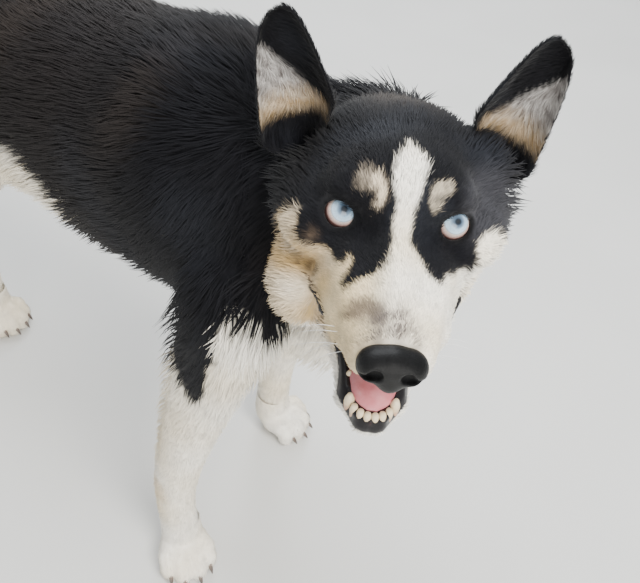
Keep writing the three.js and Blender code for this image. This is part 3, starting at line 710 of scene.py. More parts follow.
def leather_material():
    """The nose's black leather, in small rounded pebbles with a moist shine."""
    made, tree, principled = material("nose_leather")
    place = tree.nodes.new("ShaderNodeTexCoord").outputs["Object"]
    pebbles = added(tree, "ShaderNodeTexVoronoi", Scale=1300.0)
    tree.links.new(place, pebbles.inputs["Vector"])
    # Painted shade: the leather is darker in the grooves between the pebbles, where the bump sinks.
    stops = [(0.0, (0.005, 0.005, 0.0055)), (0.8, (0.0015, 0.0015, 0.0015))]
    tree.links.new(ramp(tree, pebbles.outputs["Distance"], stops), principled.inputs["Base Color"])
    set_up(principled, Roughness=0.5, Specular_IOR_Level=0.22, Coat_Weight=0.08, Coat_Roughness=0.2)
    raised = added(tree, "ShaderNodeMath", operation="SUBTRACT")
    raised.inputs[0].default_value = 1
    tree.links.new(pebbles.outputs["Distance"], raised.inputs[1])
    bump(tree, principled, raised.outputs["Value"], 0.3, 0.0004)
    return made


def hard_material(name, stops, roughness):
    """Teeth and claws: pale at one end of the painted value and stained at the other."""
    made, tree, principled = material(name)
    colour = ramp(tree, painted(tree, "Along", "Fac"), stops)
    colour = multiplied(tree, colour, noise(tree, 400, 3), 0.85, 1.1)
    tree.links.new(colour, principled.inputs["Base Color"])
    set_up(principled, Roughness=roughness, Coat_Weight=0.4)
    bump(tree, principled, noise(tree, 700, 2), 0.1, 0.0003)
    return made


def eye_material():
    """Pupil, ice-blue iris with fibres, dark rim and white, by the angle from where the eye looks."""
    made, tree, principled = material("eye")
    colour = ramp(tree, painted(tree, "Angle", "Fac"), [
        (0.0, (0.002, 0.004, 0.008)), (0.09, (0.005, 0.012, 0.022)), (0.12, (0.05, 0.08, 0.12)),
        (0.2, (0.14, 0.21, 0.30)), (0.27, (0.36, 0.52, 0.68)), (0.42, (0.50, 0.66, 0.80)),
        (0.455, (0.30, 0.38, 0.46)), (0.49, (0.62, 0.53, 0.47)), (0.59, (0.54, 0.37, 0.33)),
        (0.72, (0.10, 0.045, 0.04)),
    ])
    fibres = noise(tree, 5.5, 4, painted(tree, "Fibres", "Vector"))
    tree.links.new(multiplied(tree, colour, fibres, 0.55, 1.4), principled.inputs["Base Color"])
    set_up(principled, Roughness=0.3, Coat_Weight=1.0, Coat_Roughness=0.02, Specular_IOR_Level=0.5)
    bump(tree, principled, fibres, 0.04, 0.0002)
    return made


FUR = coat_material("fur", 0.7, 0.06)
SKIN = coat_material("skin", 0.8, 0.1)
wetted(SKIN, 0.8)
TONGUE_PINK = tongue_material()
NOSE_LEATHER = leather_material()
TOOTH = hard_material(
    "tooth", [(0.0, (0.42, 0.22, 0.12)), (0.3, (0.62, 0.47, 0.28)), (1.0, (0.72, 0.60, 0.41))], 0.22)
CLAW = hard_material("claw", [(0.0, (0.30, 0.22, 0.17)), (1.0, (0.08, 0.06, 0.05))], 0.4)
EYE = eye_material()


# The head's small parts

# The camera's own axes, by which the eyes look towards it
camera_right = unit((0.5764, -0.8106, 0.1033))
camera_up = unit((0.5296, 0.4669, 0.7082))
camera_back = -unit((0.6223, 0.3535, -0.6984))


def eyeball(side, look_right, look_up):
    """A ball with its rings round where the eye looks, the angle from there and the fibres' places."""
    gaze = unit(camera_back + look_right * camera_right + look_up * camera_up)
    across = unit(np.cross(gaze, (0, 0, 1)))
    up = np.cross(across, gaze)
    centre = from_head(np.array(EYE_AT) * (side, 1, 1))
    rings, sides = 72, 96
    angles = np.linspace(0, np.pi, rings + 2)[1:-1]
    turns = np.linspace(0, 2 * np.pi, sides, endpoint=False)
    bulge = EYE_RADIUS + 0.55 * np.exp(-((angles / 0.48) ** 4))
    flat = np.sin(angles)[:, None, None] * round_way(turns, across, up)
    points = centre + bulge[:, None, None] * (np.cos(angles)[:, None, None] * gaze + flat)
    points, faces = closed(points)
    angle = np.concatenate([[0.0], angles, [np.pi]])
    fibres = np.zeros((len(angle), sides, 3))
    fibres[:, :, 0] = np.cos(turns) * 3
    fibres[:, :, 1] = np.sin(turns) * 3
    fibres[:, :, 2] = angle[:, None] * 2.2
    return (points, faces[:, ::-1]), np.repeat(angle, sides) / np.pi * 2, fibres.reshape(-1, 3)


for name, side, look_right, look_up in (("L", 1, 0.2, -0.07), ("R", -1, 0.08, -0.08)):
    shell, angle, fibres = eyeball(side, look_right, look_up)
    eye = new_piece("eyeball_" + name, shell, EYE)
    paint(eye, "Angle", angle)
    eye.data.attributes.new("Fibres", "FLOAT_VECTOR", "POINT").data.foreach_set(
        "vector", fibres.astype(np.float32).ravel())
    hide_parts("eye_" + name)

nostril = mirrored(chain([
    (6, -104, -30, 3), (8.5, -98, -30.5, 3.2), (13, -95, -33, 2.3), (19, -94, -36, 1.1),
], 2))


def nose_field(q):
    field = carved(nose_form(q), nostril(q), 1.5)
    groove = np.hypot(q[..., 0], q[..., 1] + 101) - 0.9
    return carved(field, np.maximum(groove, q[..., 2] + 31), 0.8)


points, faces = net(nose_field, (-21, -104, -48), (21, -76, -15), 0.7)
nose = new_piece("nose_pad", (from_head(points), faces), NOSE_LEATHER)
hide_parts("nose")


# The groove along the tongue's middle: y and height
TONGUE_GROOVE = [(-68, -76.5), (-54, -73.2), (-38, -68.6), (-10, -59), (20, -51.5)]


def tongue_field(q):
    high = np.interp(q[..., 1], *np.transpose(TONGUE_GROOVE))
    groove = np.hypot(q[..., 0] / 1.2, q[..., 2] - high)
    return carved(tongue_form(q) + 0.4, groove - 1.1, 2.5)


points, faces = net(tongue_field, (-21, -75, -93), (21, 22, -50), 1)
tongue = new_piece("tongue_top", (from_head(jaw_to_head(points)), faces), TONGUE_PINK)
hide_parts("tongue")

# Each tooth on one side of the jaw, from its root to its tip: x, y, z and radius
LOWER_TEETH = [
    [(12.6, -64, -93, 3.6), (13.2, -65.5, -84, 3.4), (13.6, -66.5, -78.4, 1.5)],
    [(2.2, -73.8, -92, 2.4), (2.2, -74.8, -86.5, 2.6), (2.2, -75.2, -83.4, 1.9)],
    [(6.3, -72.4, -92, 2.4), (6.4, -73.4, -86.5, 2.6), (6.4, -73.6, -83.2, 1.9)],
    [(9.9, -69.4, -92, 2.5), (10.1, -70.4, -86, 2.7), (10.2, -70.8, -82.6, 1.9)],
    [(14.5, -50, -86, 2.6), (14.8, -50, -79, 2.4), (15, -50, -75.5, 0.8)],
    [(16.5, -38, -82, 3.2), (16.8, -38, -74, 2.8), (17, -38, -70.5, 0.9)],
]
teeth = []
for side in (1, -1):
    for rows in LOWER_TEETH:
        teeth.append(tube([(side * x, y, z, r) for x, y, z, r in rows], 12, 5))
tooth_points, tooth_faces = joined(teeth)
lower_teeth = new_piece("lower_teeth", (from_head(jaw_to_head(tooth_points)), tooth_faces), TOOTH)
tip_height = np.interp(tooth_points[:, 1], [-80, -60, -20], [-84, -78, -67])
paint(lower_teeth, "Along", smooth(-9, 1, tooth_points[:, 2] - tip_height))

claws = []
along = []
for name in PAWS:
    for x, tip, r in TOES:
        points, faces = tube([
            (1.05 * x, tip + 4, 16.5, 3), (1.08 * x, tip - 7, 16, 2.7), (1.11 * x, tip - 12.5, 12.5, 2),
            (1.13 * x, tip - 16, 8, 0.6),
        ], 10, 5)
        along.append(smooth(tip - 5, tip - 15, points[:, 1]))
        claws.append((turned_paw(name, points), faces))
claw_piece = new_piece("claws", joined(claws), CLAW)
paint(claw_piece, "Along", np.concatenate(along))


# Markings, the same for the skin and the coat

BLACK, SABLE = (0.005, 0.005, 0.0065), (0.034, 0.026, 0.021)
WHITE, CREAM, TAN = (0.91, 0.87, 0.78), (0.74, 0.59, 0.34), (0.54, 0.34, 0.11)
GREY, BLUE_GREY = (0.30, 0.25, 0.19), (0.018, 0.020, 0.026)
LIP, GUM, PALATE_PINK = (0.010, 0.009, 0.010), (0.026, 0.010, 0.010), (0.20, 0.065, 0.06)
BROW_PALE, BROW_DULL = (0.60, 0.50, 0.37), (0.44, 0.38, 0.29)
SMUDGE_BROWN, NOSE_SHADE, SHINE = (0.11, 0.08, 0.06), (0.12, 0.10, 0.09), (0.07, 0.07, 0.08)
FRECKLE, FOLD_SHADE, LID_BLACK = (0.07, 0.05, 0.035), (0.05, 0.03, 0.02), (0.006, 0.006, 0.007)
CUP_GREY, CUP_DARK = (0.46, 0.44, 0.42), (0.11, 0.095, 0.09)

# Outlines on the face: x from the middle to the dog's left, and the height across the line of sight
CHEEK_EDGE = [
    (-57, 3), (-63, 1), (-68, -2), (-72, -7), (-75, -17), (-74, -27), (-71, -36), (-69, -44),
    (-64, -56), (-56, -67), (-60, -84), (-50, -112),
]
LIGHT_FACE = [
    (2, 46), (10, 41), (12, 35), (10, 26), (8, 16), (7, 9), (7, -11), (11, -18), (16, -24), (21, -29),
    (25, -33), (29, -28), (35, -26), (43, -23), (49, -24), (51, -18), (48, -11), (49, -5), (53, 0),
    *[(-x, w) for x, w in CHEEK_EDGE[1:]],
    *reversed(CHEEK_EDGE),
    (-58, -2), (-59, -10), (-57, -17), (-49, -18), (-42, -19), (-37, -23), (-33, -26), (-29, -26),
    (-26, -22), (-24, -24), (-25, -29), (-28, -32), (-30, -37), (-28, -40), (-24, -38), (-19, -34),
    (-12, -31), (-8, -26), (-5, -22), (-3, -16), (-3, 4), (-4, 12), (-6, 20), (-7, 28), (-6, 35),
    (-3, 40),
]
BROW_R = [
    (-18, 30), (-13, 28), (-10, 22), (-8, 14), (-9, 9), (-11, 6), (-14, 6), (-17, 9), (-15, 13),
    (-16, 17), (-21, 15), (-26, 17), (-27, 22), (-24, 29),
]
BROW_L = [
    (20, 27), (25, 28), (29, 26), (29, 21), (25, 18), (23, 17), (22, 12), (20, 7), (18, 5), (16, 7),
    (14, 12), (14, 16), (15, 22), (17, 26),
]
SMUDGE = [(-25, -53), (-21, -45), (-14, -42), (-8, -45), (-7, -51), (-11, -53), (-15, -50), (-20, -54)]
# The fold that runs from the cheek down to the corner of the lips
CREASE = [(-50, -38), (-46, -42), (-43, -49), (-39, -58), (-36, -67), (-33, -77)]
# Dark freckles on the right cheek, each with its size
FRECKLES = [((-47, -33), 7), ((-55, -31), 5), ((-49, -13), 8)]


def face_place(q):
    """Places on the face, as the outlines give them."""
    return np.stack([q[:, 0], 0.533 * q[:, 1] + 0.846 * q[:, 2]], -1)


def edge_distance(points, outline):
    """How far points lie from a closed outline, negative inside it."""
    corners = np.array(outline, float)
    best = np.full(len(points), 1e9)
    inside = np.zeros(len(points), bool)
    for start, end in zip(corners, np.roll(corners, -1, 0)):
        way, gone = end - start, points - start
        best = np.minimum(best, on_line(points, start, end)[1])
        spans = (start[1] > points[:, 1]) != (end[1] > points[:, 1])
        if way[1]:
            inside ^= spans & (gone[:, 0] < gone[:, 1] * way[0] / way[1])
    return np.where(inside, -best, best)


def plain(colour, p):
    """One colour for every point."""
    return np.tile(colour, (len(p), 1))


def mixed(colours, colour, share):
    return colours + (np.array(colour) - colours) * np.clip(share, 0, 1)[:, None]


def ripple(p, size, seed):
    """A slow random wave through space, about -1 to 1."""
    rng = np.random.default_rng(seed)
    total = 0
    for _ in range(5):
        way = rng.normal(size=3)
        total = total + np.sin(p @ way * (3.2 / size / np.linalg.norm(way)) + rng.uniform(0, 7))
    return total / 3.2


# The lowest black hair on the side of the body and the outer legs: y and height
BLACK_HEM = [
    (-130, 433), (-90, 426), (-68, 425), (-58, 418), (-48, 427), (-30, 433), (-22, 429), (-17, 374),
    (-11, 340), (-3, 318), (10, 326), (27, 343), (48, 347), (150, 358), (162, 386), (172, 430),
    (190, 447), (212, 455), (290, 452), (345, 440), (400, 408), (455, 385), (500, 398), (540, 430),
]


def middle_of(y):
    return np.interp(y, trunk_rows[:, 0], trunk_rows[:, 1])


def body_tone(p):
    """Black above and on the outer legs, white and cream below and behind."""
    x, y, z = p.T
    side = np.abs(x - middle_of(y))
    wave = 7 * ripple(p, 26, 3) + 4 * ripple(p, 9, 4)
    hem = np.interp(y, *np.array(BLACK_HEM).T)
    inner = (y < 120) & (side < 74 + 0.12 * (z - 300)) & (z < 362)
    hem = np.where(inner & (y > -40), 1000, hem)
    tone = plain(BLACK, p)
    tone = mixed(tone, SABLE, 0.35 * smooth(0.1, 1, ripple(p, 60, 5)) + 0.25 * smooth(40, 160, y))
    tone = mixed(tone, BLUE_GREY, 0.35 * smooth(0.1, 1, ripple(p, 45, 8)))
    light = smooth(5, -5, z - hem + wave)
    pale = mixed(plain(WHITE, p), CREAM, 0.25 + 0.3 * ripple(p, 40, 6))
    behind = smooth(6, 26, y - np.interp(z, [0, 130, 250, 460], [58, 40, 22, 4])) * (y < 120)
    pale = mixed(pale, CREAM, 0.8 * behind * smooth(120, 260, z))
    wrist = smooth(30, 6, np.abs(z - 145 + 12 * ripple(p, 20, 9))) * smooth(0, 14, y - 24) * (y < 120)
    pale = mixed(pale, TAN, 0.4 * wrist * (x < 0))
    tone = mixed(tone, pale, light)
    q = to_head(p)
    throat = smooth(-60, -76, q[:, 2] - 0.25 * np.maximum(q[:, 1] - 20, 0) + 0.5 * wave)
    throat *= smooth(58, 44, np.abs(q[:, 0] + 6) + 0.3 * wave) * (y < -30)
    return mixed(tone, pale, throat)


def tail_tone(p):
    tone = mixed(plain(BLACK, p), SABLE, 0.3 + 0.3 * ripple(p, 40, 5))
    rows = np.array(TAIL)
    under = smooth(8, 30, p[:, 1] - np.interp(p[:, 2], rows[:, 2], rows[:, 1]))
    tip = smooth(640, 680, p[:, 2] + 8 * ripple(p, 25, 2))
    return mixed(tone, WHITE, np.maximum(0.85 * under, tip))


def crease(place):
    """How far a place on the face is from the fold by the mouth, on either side."""
    right = place * (0, 1) - np.abs(place) * (1, 0)
    return np.min([on_line(right, start, end)[1] for start, end in zip(CREASE, CREASE[1:])], axis=0)


def head_tone(q, loose=0.0):
    """The face's markings by place in the head's frame, with painted shade in the fold by the mouth and
    a painted sheen on the left side. A loose amount shifts each hair's edge.
    """
    x, y, z = q.T
    place = face_place(q)
    height = place[:, 1]
    wave = 1.1 * ripple(q, 9, 11) + 0.7 * loose

    def share(outline, soft, grow=0.0):
        return smooth(soft, -soft, edge_distance(place, outline) + wave - grow)

    tone = mixed(plain(BLACK, q), BLUE_GREY, 0.7 * smooth(0, 1, ripple(q, 30, 12)) * smooth(-20, 20, z))
    tone = mixed(tone, SABLE, 0.8 * smooth(55, 100, y) * smooth(35, 10, np.abs(x)))
    light = smooth(46, 34, y + 3 * ripple(q, 20, 13) + 12 * smooth(-20, 10, z))
    light *= share(LIGHT_FACE, 2.2)
    light = np.maximum(light, smooth(44, 32, y + 2 * loose) * smooth(-34, -46, z))
    pale = mixed(plain(WHITE, q), CREAM, 0.15 + 0.25 * ripple(q, 25, 14))
    warm = smooth(-10, -28, x) * smooth(-94, -60, height)
    warm *= 1 - 0.3 * smooth(-44, -54, x) * smooth(-30, -50, height)
    pale = mixed(pale, TAN, 0.85 * warm * (0.8 + 0.3 * ripple(q, 14, 15)))
    pale = mixed(pale, CREAM, 0.8 * smooth(0, -16, x) * smooth(0, -40, y))
    tone = mixed(tone, pale, light)
    throat = smooth(-72, -82, z) * smooth(60, 46, np.abs(x)) * smooth(70, 40, y)
    tone = mixed(tone, WHITE, throat)
    tone = mixed(tone, GREY, 0.75 * share(BROW_R, 2.2, 0.3) * (0.75 + 0.5 * ripple(q, 3, 18)))
    tone = mixed(tone, BROW_PALE, share(BROW_R, 1.6, -1.6) * smooth(-21, -16, x))
    tone = mixed(tone, BROW_DULL, share(BROW_L, 2, -1.4) * (0.8 + 0.4 * ripple(q, 3, 19)))
    tone = mixed(tone, SMUDGE_BROWN, 0.85 * share(SMUDGE, 3, 1.5))
    above_nose = smooth(24, 9, np.hypot(x + 3, (y + 84) * 0.85)) * smooth(-38, -26, z)
    tone = mixed(tone, NOSE_SHADE, 0.85 * above_nose * (0.75 + 0.3 * ripple(q, 5, 16) + 0.3 * loose))
    # Painted sheen: a grey patch on the black of the head's left side, as light on the hair.
    side_shine = smooth(28, 12, np.hypot(x - 56, (height - 14) * 0.8))
    tone = mixed(tone, SHINE, 0.45 * side_shine * (1 - light))
    for spot, size in FRECKLES:
        near = smooth(1, 0.3, size_of((place - spot) / size))
        tone = mixed(tone, FRECKLE, 0.7 * near * (0.6 + 0.7 * ripple(q, 4, 17)))
    # Painted shade: dark brown along the fold from the cheek down to the corner of the lips.
    tone = mixed(tone, FOLD_SHADE, 0.85 * smooth(1.0, 0.3, crease(place)))
    away, slit = eye_field(folded(q))
    rim = smooth(2.8, 1.6, slit) * smooth(EYE_RADIUS + 5, EYE_RADIUS + 2.5, away)
    return mixed(tone, LID_BLACK, rim)


# The floor of the mouth between the lower lips: y, half width and height
MOUTH_FLOOR = [(-76, 0, -91), (-72, 7, -90), (-57, 14, -87), (-32, 18.5, -77), (-4, 23.5, -66)]


def inside_lip(jaw):
    """Below nought on the jaw's top between its lips."""
    x, y, z = jaw.T
    rows = np.transpose(MOUTH_FLOOR)
    wide, high = [np.interp(y, rows[0], row) for row in rows[1:]]
    return np.maximum(np.maximum(np.abs(x) - wide, high - z), z + 56)


def lower_band(jaw):
    """How far the bare black of the lower lip reaches: widest in front."""
    return np.interp(jaw[:, 1], [-76, -62, -40], [7.5, 5, 3])


def mouth_tone(tone, q):
    """Lips, gums and the roof and floor of the mouth, over the colours of the skin about them."""
    jaw = head_to_jaw(q)
    lip_band = np.interp(q[:, 1], [-60, -30, 0], [1.6, 1.0, 0.4])
    tone = mixed(tone, LIP, smooth(0.5, -0.5, upper_lip(q) - lip_band))
    tone = mixed(tone, LIP, smooth(0.5, -0.5, lower_lip(jaw) - lower_band(jaw)))
    tone = mixed(tone, GUM, smooth(1, 0, inside_lip(jaw)))
    tone = mixed(tone, PALATE_PINK, smooth(1.4, 0.8, palate(q)))
    return mixed(tone, GUM, smooth(1.2, 0.6, trough(jaw)))


def ear_tone(q, hollow):
    """Black backs and rims, and grey-white hair in the cup with tan at its foot."""
    inner, outer, tip = ear_places(1)
    foot, wide = (inner + outer) / 2, outer - inner
    place = folded(q) - foot
    up = place @ unit(tip - foot) / EAR_RISE
    inside = mixed(plain(CUP_GREY, q), CUP_DARK, 0.4 + 0.6 * ripple(q, 3, 21))
    inside = mixed(inside, TAN, 0.5 * smooth(0.34, 0.05, up))
    across = place @ wide / (wide @ wide) * 2 / np.maximum(1 - 0.75 * np.maximum(up, 0), 0.2)
    pale = smooth(0.93, 0.8, up) * smooth(-0.04, 0.1, up) * smooth(-0.8, -0.5, across)
    tone = mixed(plain(BLACK, q), BLUE_GREY, 0.4 * smooth(0, 1, ripple(q, 20, 22)))
    return mixed(tone, inside, hollow * pale)


# The coat's lie: place, comb, length, rise from the skin in degrees and width
BODY_LIE = [
    (0, -40, 580, 0, 0.95, 0.0, 22, 9, 1.4), (0, 60, 580, 0, 1, -0.05, 28, 13, 1.6),
    (0, 200, 568, 0, 1, 0, 26, 13, 1.5), (0, 430, 572, 0, 1, -0.1, 30, 15, 1.7),
    (80, 150, 520, 0.05, 0.95, -0.3, 26, 13, 1.5), (95, 150, 450, 0, 0.9, -0.42, 26, 13, 1.5),
    (74, 150, 380, -0.25, 0.85, -0.5, 33, 22, 2.3), (0, 150, 345, 0, 1, -0.1, 40, 30, 2.5),
    (0, 330, 390, 0, 1, 0, 40, 30, 2.5), (84, 300, 470, 0, 0.85, -0.5, 28, 14, 1.6),
    (82, -10, 450, 0.1, 0.55, -0.85, 24, 13, 1.4), (0, -118, 430, 0, -0.1, -1, 26, 14, 1.4),
    (55, -95, 420, 0.25, 0.1, -0.95, 20, 12, 1.2), (0, -60, 350, 0, 0.6, -0.8, 44, 32, 2.5),
    (0, -115, 500, 0, -0.15, -1, 28, 16, 1.5), (60, -30, 500, 0.25, 0.45, -0.85, 28, 14, 1.5),
    (55, -70, 540, 0.2, 0.4, -0.85, 28, 15, 1.5), (60, 450, 500, 0.1, 0.8, -0.65, 38, 22, 2.3),
    (0, 515, 480, 0, 0.45, -0.9, 44, 26, 2.5), (0, 20, 345, 0, 0.7, -0.6, 36, 30, 2.4),
]
HEAD_LIE = [
    (0, -72, -12, 0, 1, 0.1, 3.2, 16, 0.9), (0, -45, 0, 0, 1, 0.2, 3.8, 16, 0.9),
    (0, -15, 10, 0, 0.85, 0.5, 5, 14, 0.9), (0, 12, 36, 0, 0.95, 0.4, 7, 15, 1.0),
    (0, 60, 50, 0, 1, -0.2, 12, 9, 1.4), (0, 110, 20, 0, 0.9, -0.4, 20, 6, 1.5),
    (30, 16, 30, 0.4, 0.9, 0.15, 7, 15, 1.0), (52, 30, 10, 0.4, 0.9, -0.2, 10, 16, 1.1),
    (38, -10, -20, 0.6, 0.75, -0.3, 5, 14, 0.9), (42, 2, -42, 0.4, 0.75, -0.55, 7, 14, 1.0),
    (64, 20, -22, 0.25, 0.85, -0.5, 12, 18, 1.2), (50, 20, -74, 0.1, 0.75, -0.65, 13, 16, 1.2),
    (66, 50, -30, 0.2, 0.85, -0.5, 24, 24, 1.6), (74, 60, 4, 0.5, 0.6, -0.5, 30, 32, 1.7),
    (60, 88, -30, 0.1, 0.8, -0.6, 28, 18, 1.6), (28, -40, -28, 0.25, 1, -0.1, 4.0, 12, 0.85),
    (18, -74, -30, 0.25, 1, -0.15, 3.2, 14, 0.85), (26, -52, -44, 0.15, 0.9, -0.4, 4, 16, 0.9),
    (32, 2, 14, 0.4, 0.75, 0.6, 5.5, 18, 1.0), (15, -8, -2, 0.15, 0.6, 0.8, 4.2, 16, 0.9),
    (56, 60, 34, 0.6, 0.5, 0.5, 13, 24, 1.4), (0, 40, -100, 0, 0.75, -0.65, 24, 22, 1.7),
    (0, -62, -102, 0, 1, -0.1, 5, 16, 1.0), (22, -20, -88, 0.2, 1, -0.2, 8, 18, 1.1),
    (10, -86, -46, 0.25, 0.8, -0.5, 2.8, 14, 0.8),
]


def lie_at(p, table):
    """Comb, length, rise and width between the nearest rows of a table, mirrored across x nought."""
    rows = np.array(table, float)
    weights = 1 / (((folded(p)[:, None] - rows[None, :, :3]) ** 2).sum(-1) + 30) ** 2.2
    weights /= weights.sum(1, keepdims=True)
    values = weights @ rows[:, 3:]
    values[:, 0] *= np.sign(p[:, 0]) * smooth(0, 12, np.abs(p[:, 0]))
    return values[:, :3], values[:, 3], values[:, 4], values[:, 5]


def between(first, second, share):
    """A lie between two others: comb, length, rise and width."""
    return tuple(a + (b - a) * (share[:, None] if a.ndim == 2 else share) for a, b in zip(first, second))


def body_lie(p, facing):
    """The body's lie, turned down the legs, with feathers behind them."""
    y, z = p[:, 1], p[:, 2]
    body = lie_at(p - middle_of(y)[:, None] * (1, 0, 0), BODY_LIE)
    leg = smooth(8, -14, limbs(p) - (body_form(p) + COAT_DEPTH)) * (z < 470)
    fore_length = np.interp(z, [60, 250, 330, 400, 460], [7, 9, 15, 24, 32])
    hind_length = np.interp(z, [60, 200, 280, 380, 460], [7, 8, 18, 32, 36])
    feather = smooth(0.35, 0.9, facing[:, 1])
    fore_length = fore_length * (1 + feather * (0.7 * smooth(180, 260, z)))
    hind_length = hind_length * (1 + feather * (0.9 * smooth(220, 300, z)))
    length = np.where(y > 250, hind_length, fore_length)
    rise = np.interp(z, [60, 250, 400], [13, 15, 18]) + 10 * feather
    width = np.interp(length, [7, 36], [1.1, 2.3])
    return between(body, (plain((0, 0.22, -1), p), length, rise, width), leg)


def tail_lie(p, facing):
    points = smooth_rows(TAIL, 8)
    way = normed(np.gradient(points[:, :3], axis=0))
    nearest = ((p[:, None] - points[None, :, :3]) ** 2).sum(-1).argmin(1)
    size = points[nearest, 3]
    return way[nearest], 20 + 0.7 * size, 24 + 0 * size, 1.7 + 0 * size


# Tufts


def vertex_normals(points, faces):
    """The skin's direction at each point, and the area of each face."""
    a, b, c, d = [points[faces[:, corner]] for corner in range(4)]
    cross = np.cross(c - a, d - b)
    normals = np.zeros_like(points)
    for corner in range(4):
        np.add.at(normals, faces[:, corner], cross)
    return normals / np.maximum(size_of(normals), 1e-9)[:, None], size_of(cross) / 2


def spread_over(shell, wanted, rng):
    """Random places, as many as wanted on each square millimetre, and the skin's direction there."""
    points, faces = shell
    normals, areas = vertex_normals(points, faces)
    counts = np.floor(areas * wanted + rng.random(len(faces))).astype(int)
    chosen = faces[np.repeat(np.arange(len(faces)), counts)]
    u, v = rng.random((2, len(chosen), 1))
    shares = [(1 - u) * (1 - v), u * (1 - v), u * v, (1 - u) * v]
    place = sum(share * points[chosen[:, i]] for i, share in enumerate(shares))
    facing = sum(share * normals[chosen[:, i]] for i, share in enumerate(shares))
    return place, normed(facing)


def tips_drawn(roots, tips, spacing, draw, rng):
    """Tips drawn towards the tip of the nearest chosen tuft, so that hair gathers in points."""
    count = max(int(len(roots) / spacing), 1)
    chosen = rng.choice(len(roots), count, replace=False)
    tree = KDTree(count)
    for i, root in enumerate(roots[chosen]):
        tree.insert(root, i)
    tree.balance()
    leader = chosen[[tree.find(root)[1] for root in roots]]
    return tips + draw[:, None] * (tips[leader] - tips), leader


# How far along a tuft its rings lie, and their thickness
RINGS = {2: ((0, 0.5), (0.8, 0.85)), 3: ((0, 0.34, 0.7), (0.75, 1, 0.62))}
# Hair stays this far above the floor
FLOOR_GAP = 0.3


def one_tuft(rings):
    """A tuft's three-sided faces, and where its points lie on its patch of the texture."""
    faces = [(0, 1, 2)]
    for i in range(rings - 1):
        for j in range(3):
            a, b = 3 * i + j, 3 * i + (j + 1) % 3
            faces += [(a, b + 3, b), (a, a + 3, b + 3)]
    last = 3 * rings - 3
    faces += [(last + j, 3 * rings, last + (j + 1) % 3) for j in range(3)]
    patch = [(j / 2, i / rings) for i in range(rings) for j in range(3)] + [(0.5, 1)]
    return np.array(faces), np.array(patch)


def new_coat(name, roots, facing, lie, tones, unwrap, rings, seed):
    """Tufts over the skin as one object, each a closed three-sided taper bent towards its comb."""
    rng = np.random.default_rng(seed)
    comb, length, rise, width = lie
    count = len(roots)
    length = length * rng.uniform(0.72, 1.18, count)
    rise = np.radians(rise + rng.normal(0, 3, count) + 3 * ripple(roots, 22, seed + 1))
    comb = normed(comb - (comb * facing).sum(1, keepdims=True) * facing)
    aside = np.cross(facing, comb)
    swing = np.radians(rng.normal(0, 7, count) + 12 * ripple(roots, 34, seed + 2))
    comb = round_way(swing, comb, aside)
    tips = roots + length[:, None] * round_way(rise, comb, facing)
    draw = rng.uniform(0.1, 0.6, count)
    tips, leader = tips_drawn(roots, tips, 9, draw, rng)
    lift = np.minimum(rise * 1.5, 1.3)
    elbow = roots + 0.5 * length[:, None] * round_way(lift, comb, facing)
    start = roots - (0.06 * length + 0.4)[:, None] * facing

    def along(t):
        return (1 - t) ** 2 * start + 2 * t * (1 - t) * elbow + t * t * tips

    points = np.empty((count, 3 * rings + 1, 3))
    half = 0.72 * width * rng.uniform(0.8, 1.2, count) / 2
    turn = rng.uniform(-0.5, 0.5, count)
    for i, (t, thickness) in enumerate(zip(*RINGS[rings])):
        way = normed(along(t + 0.05) - along(t))
        side = normed(np.cross(way, facing))
        up = np.cross(side, way)
        for j in range(3):
            angle = turn + np.pi / 2 + j * 2 * np.pi / 3
            reach = (half * thickness)[:, None] * round_way(angle, side, 0.45 * up)
            points[:, 3 * i + j] = along(t) + reach
    points[:, -1] = tips
    ringed = points[:, :-1].reshape(count, rings, 3, 3)
    outward = normed(ringed - ringed.mean(2, keepdims=True))
    soft = np.repeat(0.7 * facing[:, None], 3 * rings + 1, 1)
    soft[:, :-1] += 0.3 * outward.reshape(count, -1, 3)
    points[:, :, 2] = np.maximum(points[:, :, 2], FLOOR_GAP)
    faces, patch = one_tuft(rings)
    every = faces + (np.arange(count) * (3 * rings + 1))[:, None, None]
    piece = new_piece(name, (points.reshape(-1, 3), every.reshape(-1, 3)), FUR)
    piece.data.normals_split_custom_set_from_vertices(normed(soft.reshape(-1, 3)))
    shade = rng.normal(1, 0.06, count) * (1 + 0.06 * rng.normal(0, 1, count)[leader])
    tone = tones * np.clip(shade, 0.55, 1.5)[:, None]
    # Painted shade and light along each tuft: darker towards the root, deep in the coat, and lighter at
    # the tip.
    painted_tuft_shade = np.concatenate([np.repeat(np.linspace(0.84, 1, rings), 3), [1.12]])
    paint(piece, "Tone", (tone[:, None] * painted_tuft_shade[None, :, None]).reshape(-1, 3))
    corners = 0.001 + unwrap[:, None, None] * 0.995 + 0.003 * patch[faces]
    layer = piece.data.uv_layers.new(name="OFBake")
    layer.data.foreach_set("uv", corners.astype(np.float32).ravel())
    return piece


def wound(axis, middle):
    """An unwrap round an axis: the turn about it and the place along it, both from 0 to 1."""
    a, b = [i for i in range(3) if i != axis]

    def unwrap(p):
        turn = np.arctan2(p[:, b] - middle[1], p[:, a] - middle[0]) / (2 * np.pi) + 0.5
        along = (p[:, axis] - p[:, axis].min()) / np.ptp(p[:, axis])
        return np.stack([turn, along], -1)

    return unwrap


# The skin in its colours

skin_parts = skin_shells()
skin = new_piece("skin", joined(skin_parts.values()), SKIN)
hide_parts(*[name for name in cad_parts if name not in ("eye_L", "eye_R", "nose", "tongue")])


def neck_share(points):
    """From nought on the head to one on the neck, by which of them is nearer."""
    q = to_head(points)
    return smooth(-5, 9, head_form(q) + head_depth(q) - trunk_and_limbs(points))


